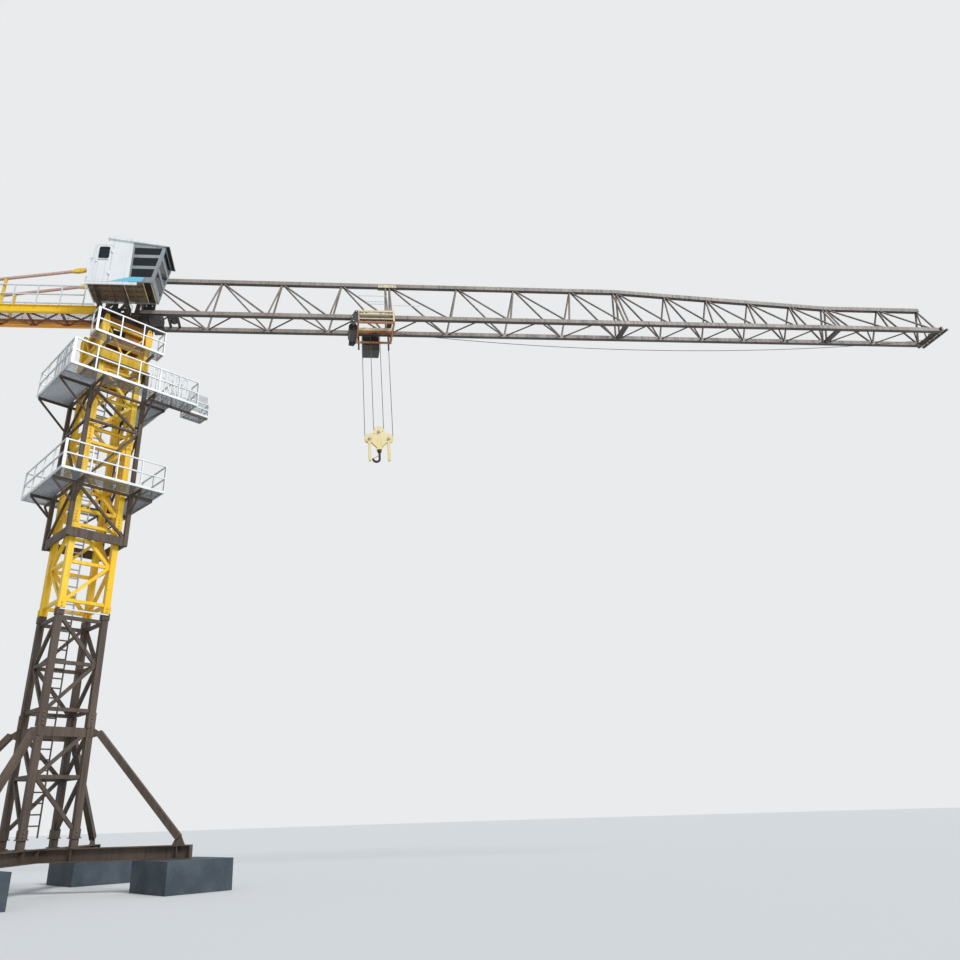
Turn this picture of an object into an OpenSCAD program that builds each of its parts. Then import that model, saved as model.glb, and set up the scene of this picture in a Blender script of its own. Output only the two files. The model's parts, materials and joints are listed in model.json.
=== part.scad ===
// Flat-top tower crane on a cross base, as a half-size model
// +X runs along the jib, +Z is up, and the origin lies on the mast's axis at ground level

/* [Cross base] */
// From the mast's axis to the middle of a ballast block
block_offset = 2130; // [2000:10:2300]
// Side of ballast block
block_w = 1020; // [800:10:1200]
// Height of ballast block
block_h = 390; // [250:10:600]
// From the mast's axis to the end of a base beam
beam_reach = 2240; // [2200:10:2500]
// Depth of base beams
beam_h = 175; // [140:5:250]
// Width of the base beams' flanges
beam_w = 150; // [120:5:180]
// Thickness of the base beams' flanges
flange_t = 14; // [8:1:20]
// Thickness of the base beams' webs and end plates
web_t = 10; // [6:1:16]
// Height of the feet between the base beams and the mast
foot_h = 135; // [90:5:180]
// Side of foot plate
foot_w = 150; // [120:5:180]
// From a beam's end to its strut's lower pin
strut_inset = 190; // [150:10:340]
// Width of strut
strut_w = 92; // [60:2:120]
// Height of the lugs that hold a strut
strut_lug_h = 90; // [60:5:110]
// Thickness of the shoes that clasp the mast's corners
shoe_t = 12; // [8:1:20]

/* [Mast] */
// Angle of the mast and base about the vertical, with the jib along +X
mast_turn = 37.5; // [0:0.5:45]
// Between the centres of two mast chords
mast_w = 745; // [700:5:800]
// Width of mast chord
mast_chord = 100; // [80:2:120]
// Wall of square tubes
tube_wall = 8; // [4:1:12]
// Width of the braces in the mast
mast_brace = 52; // [36:2:64]
// Height of the first section, which the struts hold
base_section_h = 1570; // [1300:10:1700]
// Height of second section
brown_section_h = 1630; // [1400:10:1800]
// Height of each yellow section
yellow_section_h = 1545; // [1450:5:1600]
// Depth of the ring beams on the first section
ring_h = 130; // [90:5:160]
// Height of the sleeves where two sections meet
joint_h = 110; // [60:5:140]
// How far a sleeve stands out from its chord
joint_out = 10; // [6:1:14]
// Width of ladder
ladder_w = 210; // [160:5:240]
// Between two rungs
rung_pitch = 150; // [125:5:200]
// Thickness of the ladder's rails and rungs
ladder_bar = 20; // [14:1:26]

/* [Climbing frame] */
// Outer half width of the climbing frame
frame_half = 530; // [515:5:560]
// Width of the climbing frame's posts
frame_post = 70; // [50:2:76]
// Width of the climbing frame's braces
frame_brace = 40; // [28:2:50]
// Climbing frame's foot below the mast's top
frame_h = 3485; // [3335:10:3635]
// Depth of the beams round the lower edge
frame_ring = 130; // [90:5:160]
// Outer diameter of the climbing cylinder
jack_d = 70; // [50:2:72]
// Diameter of the climbing cylinder's rod
jack_rod_d = 46; // [30:2:48]
// Length of the climbing cylinder's barrel
jack_barrel = 900; // [700:10:1100]
// Length of the rod below the barrel
jack_stroke = 650; // [400:10:700]
// Length of the yoke under the rod
yoke_l = 560; // [400:10:620]
// Height of yoke
yoke_h = 80; // [60:5:100]

/* [Platforms] */
// Lower platform's deck below the mast's top
lower_deck_drop = 2523; // [2335:4:2635]
// Outer half width of the lower platform
lower_deck_half = 895; // [850:5:1000]
// Upper platform's deck below the mast's top
upper_deck_drop = 641; // [535:2:785]
// Reach of its near deck towards the near side
upper_near = 1000; // [900:5:1100]
// Reach of its left deck
upper_left = 1090; // [900:5:1120]
// Reach of its right deck
upper_right = 940; // [850:5:1000]
// Reach of its side decks towards the far side
upper_far = 525; // [400:5:560]
// Near deck's reach past the right side
upper_more = 390; // [200:10:420]
// Width of the upper platform's near deck
upper_deck_w = 290; // [250:5:320]
// Length of the small stand at its right end
stand_l = 410; // [300:10:450]
// Width of that stand
stand_w = 280; // [200:10:320]
// Height of the stand's handrails
stand_rail_h = 290; // [250:5:350]
// Top deck above the slewing support's beams
top_deck_lift = 85; // [55:2:115]
// Reach of that deck towards the near side
top_near = 850; // [800:5:880]
// Reach of that deck towards the left
top_left = 720; // [620:5:760]
// Reach of that deck towards the right
top_right = 600; // [560:5:700]
// Width of that deck
top_deck_w = 240; // [200:5:280]
// Thickness of decks
deck_t = 12; // [8:1:20]
// Gap between two pieces that meet, such as decks
panel_gap = 0.5; // [0.3:0.1:0.9]
// Height of handrails
rail_h = 520; // [450:10:560]
// Thickness of handrails
rail_d = 22; // [16:1:28]
// Between two rail posts, at most
rail_pitch = 480; // [400:10:600]
// Height of toe boards
toe_h = 30; // [20:5:90]
// Depth of the brackets under a deck
bracket_h = 44; // [30:2:48]
// Width of the brackets under a deck
bracket_w = 30; // [20:2:40]

/* [Slewing ring] */
// Outer half width of the slewing support
support_half = 500; // [480:5:520]
// Width of the support's lower beams
support_beam_w = 120; // [110:2:140]
// Depth of the support's lower beams
support_beam_h = 200; // [150:5:220]
// Height of the support's posts above the lower beams
support_post_h = 615; // [560:5:660]
// Thickness of the support's upper bars
support_bar = 40; // [30:2:46]
// Width of the lugs on the posts
support_lug_w = 150; // [110:5:180]
// Height of those lugs
support_lug_h = 420; // [340:5:460]
// Thickness of those lugs
support_lug_t = 30; // [20:2:40]
// Diameter of the pin holes in the lugs
support_pin_d = 40; // [24:2:50]
// Height of the box's floor above the lower beams
box_lift = 265; // [220:5:300]
// Outer half width of the box under the slewing ring
box_half = 387; // [386.2:0.2:387.4]
// Height of the box under the slewing ring
box_h = 560; // [500:5:570]
// Thickness of the box's walls
box_wall = 20; // [12:1:30]
// Width of the opening in the box's near wall
box_door_w = 240; // [150:10:300]
// Height of that opening
box_door_h = 130; // [80:10:200]
// Outer diameter of the slewing ring
ring_d = 770; // [740:5:772]
// Inner diameter of the slewing ring
ring_bore = 600; // [560:10:640]
// Height of slewing ring
ring_t = 60; // [50:2:66]
// Gap between the turning and the fixed part of the slewing ring
slew_gap = 0.5; // [0.3:0.1:0.9]
// Half length of the turntable along the jib
table_half = 440; // [430:5:470]
// Half width of the turntable
table_side = 350; // [345:5:360]
// Height of turntable
table_h = 160; // [150:2:166]
// Outer diameter of the turntable's drum
drum_ring_d = 700; // [660:10:730]
// Thickness of the flange on the slewing ring
slew_flange = 30; // [20:2:40]
// Depth of the frame on top of the turntable
table_frame = 110; // [90:5:120]
// Outer diameter of a slewing motor
motor_d = 150; // [110:5:170]

/* [Jib] */
// Bottom chords' centres above the turntable
jib_lift = 54; // [50:2:80]
// Between the centres of the bottom chords
jib_gauge = 550; // [500:10:600]
// Height of the jib between chord centres
jib_h = 1025; // [900:5:1100]
// Height of outer section
tip_h = 715; // [600:5:800]
// Width of the jib's chords
chord_w = 85; // [70:1:95]
// Wall of the jib's chords
chord_wall = 6; // [4:1:10]
// Diameter of the bars between the chords
web_d = 40; // [30:1:46]
// From the mast's axis to the jib's first pins
jib_start = 450; // [440:5:480]
// Length of a bay in the inner sections
bay = 1250; // [1150:10:1300]
// Length of a bay in the third section
bay_3 = 945; // [900:5:1000]
// Length of a bay in the outer section
bay_4 = 1125; // [1050:5:1200]
// Lean of the top nodes in the first section
lean_1 = 280; // [100:10:350]
// The same in the second section
lean_2 = 245; // [100:5:350]
// The same in the third section
lean_3 = 165; // [50:5:250]
// The same in the outer section
lean_4 = 150; // [50:5:250]
// Length of the tip beyond the last bay
tip_reach = 150; // [120:5:250]
// Width of the cross bars between the bottom chords
cross_w = 50; // [40:2:60]
// Height of the trolley's pull rope above the bottom chords' centres
pull_rope_z = 130; // [110:5:180]
// Between the two runs of the pull rope
pull_gauge = 120; // [80:5:160]
// From the mast's axis to the trolley winch
trolley_winch_x = 1060; // [1000:10:1400]
// Diameter of the trolley winch's drum
trolley_drum_d = 130; // [100:5:150]
// Diameter of the sheaves at the jib's tip
tip_sheave_d = 120; // [80:5:130]
// Sag of the slack rope between the trolley and the tip
rope_sag = 361; // [200:1:400]
// Diameter of ropes
rope_d = 12; // [8:1:14]

/* [Counter-jib] */
// Between the girders' centres
girder_gauge = 500; // [470:10:560]
// Depth of girders
girder_h = 165; // [140:5:190]
// Width of the girders' flanges
girder_w = 62; // [50:2:70]
// Thickness of the girders' plates
girder_t = 8; // [5:1:12]
// From the mast's axis to the counter-jib's end
counter_reach = 5700; // [5400:10:5900]
// Gap between the counterweights and the ties' lugs
tie_clear = 9.5; // [5:0.5:40]
// Height of a tie's outer end above the girder
tie_foot_h = 166; // [120:2:200]
// Height of its inner end above the jib's top chord
tie_rise = 96; // [60:2:120]
// Length of a tie's joint plate
tie_lug_l = 310; // [220:5:340]
// Mast's axis to that plate's middle
tie_joint_x = 875; // [760:5:1100]
// Width of tie bars
tie_w = 44; // [30:2:56]
// Mast's axis to the ties' posts
tie_post_x = 2277; // [1900:1:2400]
// Length of the counter-jib's lattice bays
cross_bay = 600; // [500:10:700]
// Height of the counter-jib's handrails
counter_rail_h = 480; // [420:10:540]
// Gap between those handrails and the tower head
counter_rail_gap = 264; // [100:2:400]
// Number of counterweight slabs
slab_count = 5; // [3:1:5]
// Thickness of counterweight slab
slab_t = 108; // [80:2:110]
// Gap between a slab and the girders
slab_gap = 10; // [5:1:20]
// Height of a slab's shoulders
slab_head = 90; // [60:5:120]
// Depth of a slab below the girders' tops
slab_h = 1250; // [1000:10:1300]
// Width of the counter-jib's cross members
member_w = 40; // [30:2:50]
// Thickness of the counter-jib's diagonals
diagonal_w = 26; // [18:2:34]
// Diameter of hoist drum
drum_d = 300; // [220:10:340]
// Length of hoist drum
drum_l = 380; // [300:10:400]
// Width of the electric cabinet along the counter-jib
cabinet_w = 320; // [200:10:400]
// Height of electric cabinet
cabinet_h = 420; // [300:10:480]

/* [Tower head] */
// Width of the tower head's legs
head_leg = 76; // [60:2:84]
// Reach of the lugs that hold the jib
lug_reach = 30; // [20:2:40]

/* [Cab] */
// Rear end of the cab's floor
cab_rear = -400; // [-420:5:-380]
// Front end of the cab's floor
cab_front = 850; // [800:5:900]
// From the mast's axis to the cab's inner side
cab_inner = 520; // [510:5:560]
// From the mast's axis to the cab's outer side
cab_outer = 1200; // [1150:5:1260]
// Cab's floor frame above the bottom chords' centres
cab_lift = 30; // [30:2:66]
// Height of the cab at the back edge of its roof
cab_h = 1100; // [1020:4:1120]
// Height of the cab's rear part
cab_rear_h = 914; // [890:2:940]
// How far the rear wall leans in at its top
rear_lean = 90; // [40:5:120]
// Rear end of the roof
roof_rear = -64; // [-80:4:-40]
// Length of the side panel behind the windows
side_panel = 464; // [400:4:500]
// Fall of the roof's underside
roof_fall = 174; // [80:2:180]
// Thickness of the roof at its rear end
roof_t = 70; // [40:2:80]
// Thickness of the roof at its front end
roof_tip_t = 22; // [12:2:30]
// Roof's reach past the front glass
roof_reach = 75; // [40:5:90]
// Roof's reach past the walls
roof_over = 30; // [10:2:40]
// Lean of the front glass
glass_lean = 170; // [100:5:200]
// Thickness of the cab's walls
cab_wall = 24; // [16:1:30]
// Height of the lowest windows
window_z = 120; // [100:5:140]
// Height of window
window_h = 200; // [160:5:210]
// Between the rows of windows
window_pitch = 272; // [260:4:280]
// Width of the frame round the windows
window_frame = 34; // [24:2:44]
// Thickness of glass
glass_t = 8; // [5:1:12]
// Thickness of the cab's floor plate
cab_floor_t = 12; // [8:1:16]
// Depth of the ribs under the cab's floor
cab_rib_h = 32; // [20:2:40]
// Thickness of the brackets that carry the cab
cab_bracket_t = 40; // [24:2:50]
// Rear edge of the door
door_x = -275; // [-276:1:-264]
// Width of door
door_w = 300; // [260:5:310]
// Height of door
door_h = 830; // [780:5:840]
// Gap round the door
door_gap = 4; // [3:0.5:6]
// Width of the door's window
door_window_w = 186; // [140:2:200]
// Height of the door's window
door_window_h = 270; // [200:5:280]
// Radius of the corners of the door's window
door_window_r = 30; // [15:1:50]
// Diameter of hinge pins
hinge_d = 14; // [10:1:18]
// Clearance round a hinge pin
hinge_gap = 0.1; // [0.05:0.05:0.3]
// Height of hinge
hinge_h = 60; // [40:2:80]

/* [Trolley] */
// From the mast's axis to the trolley's middle
trolley_x = 5150; // [4600:10:6000]
// Length of trolley
trolley_l = 760; // [700:10:800]
// Height of the trolley's side frames
trolley_h = 310; // [260:5:340]
// Thickness of the trolley's bars
trolley_bar = 36; // [26:2:44]
// Diameter of the trolley's wheels
wheel_d = 84; // [60:2:96]
// Width of the trolley's wheels
wheel_w = 34; // [24:2:40]
// Gap between a wheel and the chord it runs on
wheel_gap = 0.3; // [0.2:0.1:0.6]
// Running gap beside a chord
side_gap = 22; // [18:1:30]
// Width of the chord that a wheel covers
wheel_hold = 20; // [14:1:24]
// Radius of the trolley's outer sheaves
outer_sheave_r = 48; // [36:1:52]
// Height of the trolley's sheave plates
sheave_plate_h = 120; // [112:2:130]
// Length of maintenance basket
basket_l = 350; // [300:10:400]
// Width of maintenance basket
basket_w = 290; // [240:10:320]
// Height of the maintenance basket's sides
basket_h = 430; // [320:10:460]
// Drop of the basket's floor
basket_drop = 354; // [280:2:380]
// Basket's offset from the trolley's middle
basket_back = 50; // [0:5:100]
// Thickness of the basket's sheets
sheet_t = 6; // [4:1:10]

/* [Hook block] */
// Side sheaves' centres below the bottom chords'
block_drop = 2620; // [2434:2:3034]
// Radius of the side sheaves' covers
lobe_r = 95; // [80:1:105]
// Radius of the middle sheave's cover
top_lobe_r = 100; // [85:1:110]
// Height of the middle sheave above the side sheaves
top_lobe_rise = 164; // [130:2:190]
// Distance from the block's middle to a side sheave
lobe_x = 183; // [150:1:190]
// Radius at which the ropes leave the sheaves
sheave_r = 80; // [65:1:84]
// Width of sheave
sheave_w = 34; // [24:2:40]
// Thickness of the block's plates
cheek_t = 12; // [8:1:16]
// Gap beside a sheave
sheave_gap = 0.8; // [0.4:0.1:0.9]
// Diameter of the sheaves' pins
sheave_pin_d = 44; // [30:2:50]
// Clearance round a sheave's pin
pin_gap = 0.3; // [0.1:0.1:0.5]
// Gap between a rope and its sheave
rope_gap = 0.3; // [0.1:0.1:0.6]
// Length of the guard straps below the side sheaves
strap_l = 370; // [300:10:400]
// Width of guard straps
strap_w = 50; // [36:2:60]
// Height of the crosshead that carries the hook
crosshead_h = 56; // [50:2:70]
// Width of crosshead
crosshead_w = 100; // [80:2:120]
// Diameter of the hook's nut
nut_d = 60; // [50:2:64]
// Height of the hook's nut
nut_h = 20; // [14:1:24]
// Diameter of the hook's shank in the crosshead
shank_d = 34; // [24:1:40]
// Length of the hook from the crosshead to the middle of its bowl
hook_l = 180; // [150:5:200]
// Radius of the hook's bowl to the middle of its section
hook_r = 62; // [50:1:74]
// Thickness of hook
hook_d = 44; // [34:1:50]

/* [Hidden] */

brown = "#5a4a3c";
yellow = "#f2bd0a";
grey = "#c9cfd4";
slate = "#3b444c";
white = "#f2f4f5";
dark = "#3f3a38";
rust = "#a5691a";

// Levels of the mast, from the ground up
beam_top = block_h + beam_h;
strut_reach = beam_reach - strut_inset;
mast_bottom = beam_top + foot_h;
ring_level = mast_bottom + base_section_h;
yellow_bottom = ring_level + brown_section_h;
yellow_sections = 3;
mast_top = yellow_bottom + yellow_sections * yellow_section_h;
chord_clear = mast_w - mast_chord;
frame_bottom = mast_top - frame_h;
lower_deck_z = mast_top - lower_deck_drop;
upper_deck_z = mast_top - upper_deck_drop;

// Levels of the slewing parts
support_beam_top = mast_top + support_beam_h;
box_bottom = support_beam_top + box_lift;
ring_bottom = box_bottom + box_h;
table_bottom = ring_bottom + ring_t;
table_top = table_bottom + table_h;
top_deck_z = support_beam_top + top_deck_lift;
jib_z = table_top + jib_lift;
cab_z = jib_z + cab_lift;
block_z = jib_z - block_drop;

// Levels of the climbing frame's horizontals, from its lower edge up
frame_levels = [frame_bottom + frame_ring, lower_deck_z - deck_t - bracket_h / 2,
        (lower_deck_z + upper_deck_z) / 2 + rail_h / 2,
        upper_deck_z - deck_t - bracket_h / 2, mast_top - frame_brace / 2];
frame_clear = 2 * (frame_half - frame_post);

// Jib sections as [start, bays, bay length, lean of the inner nodes, height at start, height at end]
s2_start = jib_start + 4 * bay;
s3_start = s2_start + 4 * bay;
s4_start = s3_start + 5 * bay_3;
jib_end = s4_start + 2 * bay_4;
section_1 = [jib_start, 4, bay, lean_1, jib_h, jib_h];
section_2 = [s2_start, 4, bay, lean_2, jib_h, jib_h];
section_3 = [s3_start, 5, bay_3, lean_3, jib_h, tip_h];
section_4 = [s4_start, 2, bay_4, lean_4, tip_h, tip_h];

// Square bar between two points
module bar(p, q, w) {
  v = q - p;
  translate(p)
    rotate([0, acos(v[2] / norm(v)), atan2(v[1], v[0])]) translate([-w / 2, -w / 2, 0])
    cube([w, w, norm(v)]);
}

// Six-sided bar between two points
module rod(p, q, d, faces = 6) {
  v = q - p;
  translate(p)
    rotate([0, acos(v[2] / norm(v)), atan2(v[1], v[0])])
    cylinder(d = d, h = norm(v), $fn = faces);
}

// Flat strip between two points of a drawing
module strip(p, q, w) {
  v = q - p;
  translate(p)
    rotate(atan2(v[1], v[0])) translate([0, -w / 2]) square([norm(v), w]);
}

// Sets a drawing upright, centred on Y = 0
module upright(t) {
  rotate([90, 0, 0])
    linear_extrude(t, center = true) children();
}

// Box with its corner at a point
module block(p, size) {
  translate(p) cube(size);
}

// Box centred on the Z axis, from a height upwards
module pillar(z, size) {
  block([-size[0] / 2, -size[1] / 2, z], size);
}

// Turns what stands on Z = 0 so that it runs towards -Y from a point
module across(p) {
  translate(p) rotate([90, 0, 0]) children();
}

// Side number 0 to 3 of a square tower: near, right, far, left
module tower_side(n) {
  rotate(mast_turn + 90 * n) children();
}

// Copies at the four corners of a square
module at_corners(half) {
  for (sx = [-1, 1], sy = [-1, 1])
    translate([sx * half, sy * half, 0]) children();
}

// Along base arm number n
module along_arm(n) {
  rotate(mast_turn - 45 + 90 * n) children();
}

// Cross base

module ballast_blocks() {
  color(slate)
    for (n = [0 : 3])
      along_arm(n) translate([block_offset, 0, block_h / 2]) rotate(45)
      cube([block_w, block_w, block_h], center = true);
}

module i_profile(h, w, t_flange, t_web) {
  translate([-w / 2, 0]) square([w, t_flange]);
  translate([-w / 2, h - t_flange]) square([w, t_flange]);
  translate([-t_web / 2, t_flange / 2]) square([t_web, h - t_flange]);
}

// I-beam along X from one distance to another, with its underside on the ballast
module base_beam(from, to) {
  translate([from, 0, block_h])
    rotate([90, 0, 90]) linear_extrude(to - from) i_profile(beam_h, beam_w, flange_t, web_t);
  for (x = [from, to - web_t])
    block([x, -beam_w / 2, block_h + flange_t / 2], [web_t, beam_w, beam_h - flange_t]);
  // Stiffeners under the mast's foot and the strut
  for (x = [mast_w / sqrt(2), strut_reach], side = [-1, 1])
    if (x * side > from)
      for (s = [-1, 1])
        block([x * side - web_t / 2, s * beam_w / 4 - beam_w / 4 + s, block_h + flange_t / 2],
           [web_t, beam_w / 2, beam_h - flange_t]);
}

module base_long_beam() {
  color(brown)
    along_arm(0) base_beam(-beam_reach, beam_reach);
}

module base_half_beams() {
  color(brown)
    for (n = [1, 3])
      along_arm(n) base_beam(beam_w / 2, beam_reach);
}

module base_feet() {
  color(brown)
    for (n = [0 : 3])
      along_arm(n) translate([mast_w / sqrt(2), 0, beam_top]) rotate(45) {
        pillar(0, [foot_w, foot_w, flange_t]);
        pillar(foot_h - flange_t, [foot_w, foot_w, flange_t]);
        pillar(flange_t / 2, [mast_chord, mast_chord, foot_h - flange_t]);
      }
}

// Pins of a strut: [distance from the axis, height]
strut_foot = [strut_reach, beam_top + strut_lug_h];
strut_head = [(mast_w + mast_chord) / sqrt(2) + strut_lug_h, ring_level - joint_h - ring_h / 2];

module base_struts() {
  corner = (mast_w + mast_chord) / sqrt(2);
  plate = strut_w / 3;
  reach = mast_chord / 2;
  color(brown)
    for (n = [0 : 3])
      along_arm(n) {
        bar([strut_foot[0], 0, strut_foot[1]], [strut_head[0], 0, strut_head[1]], strut_w);
        // Lug on the base beam
        upright(plate)
          polygon([[strut_reach - strut_w, beam_top], [strut_reach + strut_w, beam_top],
              [strut_reach + strut_w / 3, beam_top + strut_lug_h * 1.3],
              [strut_reach - strut_w / 3, beam_top + strut_lug_h * 1.3]]);
        // Shoe round the mast's corner, and its lug
        translate([mast_w / sqrt(2), 0, strut_head[1] - ring_h / 2])
          rotate(-45) difference() {
            cube([reach + shoe_t, reach + shoe_t, ring_h]);
            translate([-1, -1, -1]) cube([reach + 1, reach + 1, ring_h + 2]);
          }
        upright(plate)
          polygon([[corner + 1, strut_head[1] - ring_h / 2 + 1], [strut_head[0], strut_head[1] - strut_w / 2],
              [strut_head[0] + strut_w / 3, strut_head[1]], [corner + 1, strut_head[1] + ring_h / 2 - 1]]);
      }
}

// Mast

// Face between the chords: a horizontal at each level, a diagonal in each bay
module face_drawing(levels, clear, brace, first) {
  for (z = levels)
    translate([-clear / 2, z - brace / 2]) square([clear, brace]);
  intersection() {
    translate([-clear / 2, levels[0]])
      square([clear, levels[len(levels) - 1] - levels[0]]);
    for (i = [0 : len(levels) - 2])
      if (levels[i + 1] - levels[i] > 3 * joint_h) {
        s = (i + first) % 2 == 0 ? 1 : -1;
        strip([-s * clear / 2, levels[i]], [s * clear / 2, levels[i + 1]], brace);
      }
  }
}

// Side of a tower: a drawing of its bars between two tubes, with sleeves at the joints
module side_with_tubes(n, reach, tube, bar_t, bottom, top, joints = []) {
  bore = tube - 2 * tube_wall;
  sleeve = tube + 2 * joint_out;
  tower_side(n)
    translate([0, -reach, 0]) difference() {
      union() {
        upright(bar_t) children();
        for (s = [-1, 1])
          translate([s * reach, 0, 0]) {
            pillar(bottom, [tube, tube, top - bottom]);
            for (z = joints)
              pillar(z, [sleeve, sleeve, joint_h]);
          }
      }
      for (s = [-1, 1])
        block([s * reach - bore / 2, -bore / 2, bottom - 1], [bore, bore, top - bottom + 2]);
    }
}

// Side of a tower between the tubes of its neighbours
module side_between(n, reach, bar_t) {
  tower_side(n)
    translate([0, -reach, 0]) upright(bar_t) children();
}

// Levels of the horizontals, each a brace's half width inside its section
function section_levels(bottom, h) =
  [bottom + joint_h + mast_brace / 2, bottom + h / 2, bottom + h - joint_h - mast_brace / 2];
lower_levels = concat([mast_bottom + base_section_h / 2],
           [ring_level - joint_h - ring_h / 2],
           section_levels(ring_level, brown_section_h));
upper_levels = [for (i = [0 : yellow_sections - 1])
          for (z = section_levels(yellow_bottom + i * yellow_section_h, yellow_section_h)) z];
lower_joints = [mast_bottom, ring_level - joint_h, ring_level, yellow_bottom - joint_h];
upper_joints = [for (i = [0 : yellow_sections - 1])
          for (z = [0, yellow_section_h - joint_h]) yellow_bottom + i * yellow_section_h + z];

// Ring beam and lowest diagonal of a face of the first section
module first_section_drawing(clear) {
  translate([-clear / 2, ring_level - joint_h - ring_h])
    square([clear, ring_h]);
  intersection() {
    translate([-clear / 2, mast_bottom + joint_h])
      square([clear, base_section_h]);
    strip([clear / 2, mast_bottom + joint_h], [-clear / 2, mast_bottom + base_section_h / 2], mast_brace);
  }
}

module lower_side_with_chords(n) {
  color(brown)
    side_with_tubes(n, mast_w / 2, mast_chord, mast_brace, mast_bottom, yellow_bottom, lower_joints) {
      face_drawing(lower_levels, chord_clear + tube_wall, mast_brace, 0);
      first_section_drawing(chord_clear + tube_wall);
    }
}

module lower_side_between(n) {
  color(brown)
    side_between(n, mast_w / 2, mast_brace) {
      face_drawing(lower_levels, chord_clear, mast_brace, 1);
      first_section_drawing(chord_clear);
    }
}

module upper_side_with_chords(n) {
  color(yellow)
    side_with_tubes(n, mast_w / 2, mast_chord, mast_brace, yellow_bottom, mast_top, upper_joints)
    face_drawing(upper_levels, chord_clear + tube_wall, mast_brace, 0);
}

module upper_side_between(n) {
  color(yellow)
    side_between(n, mast_w / 2, mast_brace)
    face_drawing(upper_levels, chord_clear, mast_brace, 1);
}

module mast_ladder() {
  y = mast_w / 2 - mast_brace / 2 - ladder_bar / 2;
  high = mast_top - mast_bottom;
  rungs = floor(high / rung_pitch) - 1;
  color(grey)
    tower_side(0) translate([0, y, 0]) upright(ladder_bar) {
      for (s = [-1, 1])
        translate([s * ladder_w / 2 - ladder_bar / 2, mast_bottom]) square([ladder_bar, high]);
      for (i = [1 : rungs])
        translate([-ladder_w / 2, mast_bottom + i * rung_pitch]) square([ladder_w, ladder_bar]);
    }
}

// Climbing frame

// Half distance between the centres of two posts
frame_reach = frame_half - frame_post / 2;

module frame_drawing(clear, first) {
  face_drawing(frame_levels, clear, frame_brace, first);
  translate([-clear / 2, frame_bottom]) square([clear, frame_ring]);
}

module frame_side_with_posts(n) {
  color(brown)
    side_with_tubes(n, frame_reach, frame_post, frame_brace, frame_bottom, mast_top)
    frame_drawing(frame_clear + tube_wall, 1);
}

module frame_side_between(n) {
  color(brown)
    side_between(n, frame_reach, frame_brace) frame_drawing(frame_clear, 0);
}

// Climbing cylinder's place, midway between mast and frame
frame_inner = frame_half - frame_post / 2 - frame_brace / 2;
jack_y = (mast_w / 2 + mast_brace / 2 + frame_inner) / 2;

module climbing_cylinder() {
  top = frame_levels[2] + frame_brace / 2;
  low = top - jack_barrel - jack_stroke;
  color(yellow)
    tower_side(1) translate([0, -jack_y, 0]) {
      translate([0, 0, top - jack_barrel]) cylinder(d = jack_d, h = jack_barrel, $fn = 24);
      translate([0, 0, low - 1]) cylinder(d = jack_rod_d, h = jack_stroke + 2, $fn = 24);
      // Bracket on the frame and yoke against the mast
      block([-jack_d / 2, jack_y - frame_inner, top - frame_brace],
         [jack_d, frame_inner - jack_y, frame_brace]);
      pillar(low - yoke_h, [yoke_l, jack_rod_d, yoke_h]);
    }
}

// Platforms

// Bracket under a deck, with a stay that falls back to the frame's post
module deck_bracket(z, x, half) {
  reach = half - frame_half;
  drop = reach * 0.9;
  low = z - deck_t - bracket_h;
  translate([x, 0, 0])
    rotate(90) upright(bracket_w) {
      translate([-half, low]) square([reach, bracket_h]);
      intersection() {
        translate([-half, low - drop]) square([reach, drop + bracket_h / 2]);
        strip([-half, low + bracket_w / 2], [-frame_half, low + bracket_w / 2 - drop], bracket_w);
      }
    }
}

// Brackets below one side of a deck, at the frame's two posts
module bracket_pair(n, z, half) {
  tower_side(n)
    for (s = [-1, 1])
      deck_bracket(z, s * frame_reach, half);
}

// Drawing of a handrail with its posts, whose feet reach below the deck
module rail_drawing(length, z, h, foot) {
  count = ceil(length / rail_pitch);
  step = (length - rail_d) / count;
  for (i = [0 : count])
    translate([i * step, z - foot]) square([rail_d, h + foot]);
  for (level = [h / 2, h - rail_d])
    translate([0, z + level]) square([length, rail_d]);
}

// Handrail and toe board outside a deck's edge from p to q
module rail_panel(z, p, q, more = rail_d, h = rail_h) {
  length = norm(q - p) + more - panel_gap;
  translate([p[0], p[1], 0])
    rotate(atan2(q[1] - p[1], q[0] - p[0])) translate([panel_gap, -rail_d / 2, 0])
    upright(rail_d) {
      rail_drawing(length, z, h, deck_t);
      translate([0, z - deck_t]) square([length, toe_h + deck_t]);
    }
}

module lower_platform_deck() {
  half = lower_deck_half;
  color(grey)
    for (n = [0 : 3])
      tower_side(n) {
        reach = n % 2 == 0 ? half : frame_half - panel_gap;
        block([-reach, -half, lower_deck_z - deck_t], [2 * reach, half - frame_half, deck_t]);
      }
}

// Outer right end of the upper platform's near deck
upper_end = upper_right + upper_more;

module upper_platform_deck() {
  z = upper_deck_z - deck_t;
  inner = upper_deck_w - upper_near + panel_gap;
  color(grey)
    tower_side(0) {
      block([-upper_left, -upper_near, z], [upper_left + upper_end, upper_deck_w, deck_t]);
      block([-upper_left, inner, z], [upper_left - frame_half, upper_far - inner, deck_t]);
      block([frame_half, inner, z], [upper_right - frame_half, upper_far - inner, deck_t]);
      block([upper_end + panel_gap, inner, z], [stand_l - panel_gap, stand_w - panel_gap, deck_t]);
    }
}

module platform_brackets() {
  color(brown) {
    for (n = [0 : 3]) bracket_pair(n, lower_deck_z, lower_deck_half);
    bracket_pair(0, upper_deck_z, upper_near);
    bracket_pair(1, upper_deck_z, upper_right);
    bracket_pair(3, upper_deck_z, upper_left);
    // Beam that carries the end of the near deck and the stand
    tower_side(0)
      block([frame_reach, upper_deck_w - upper_near - bracket_w / 2, upper_deck_z - deck_t - bracket_h],
         [upper_end + stand_l - frame_reach, bracket_w, bracket_h]);
  }
}

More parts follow.
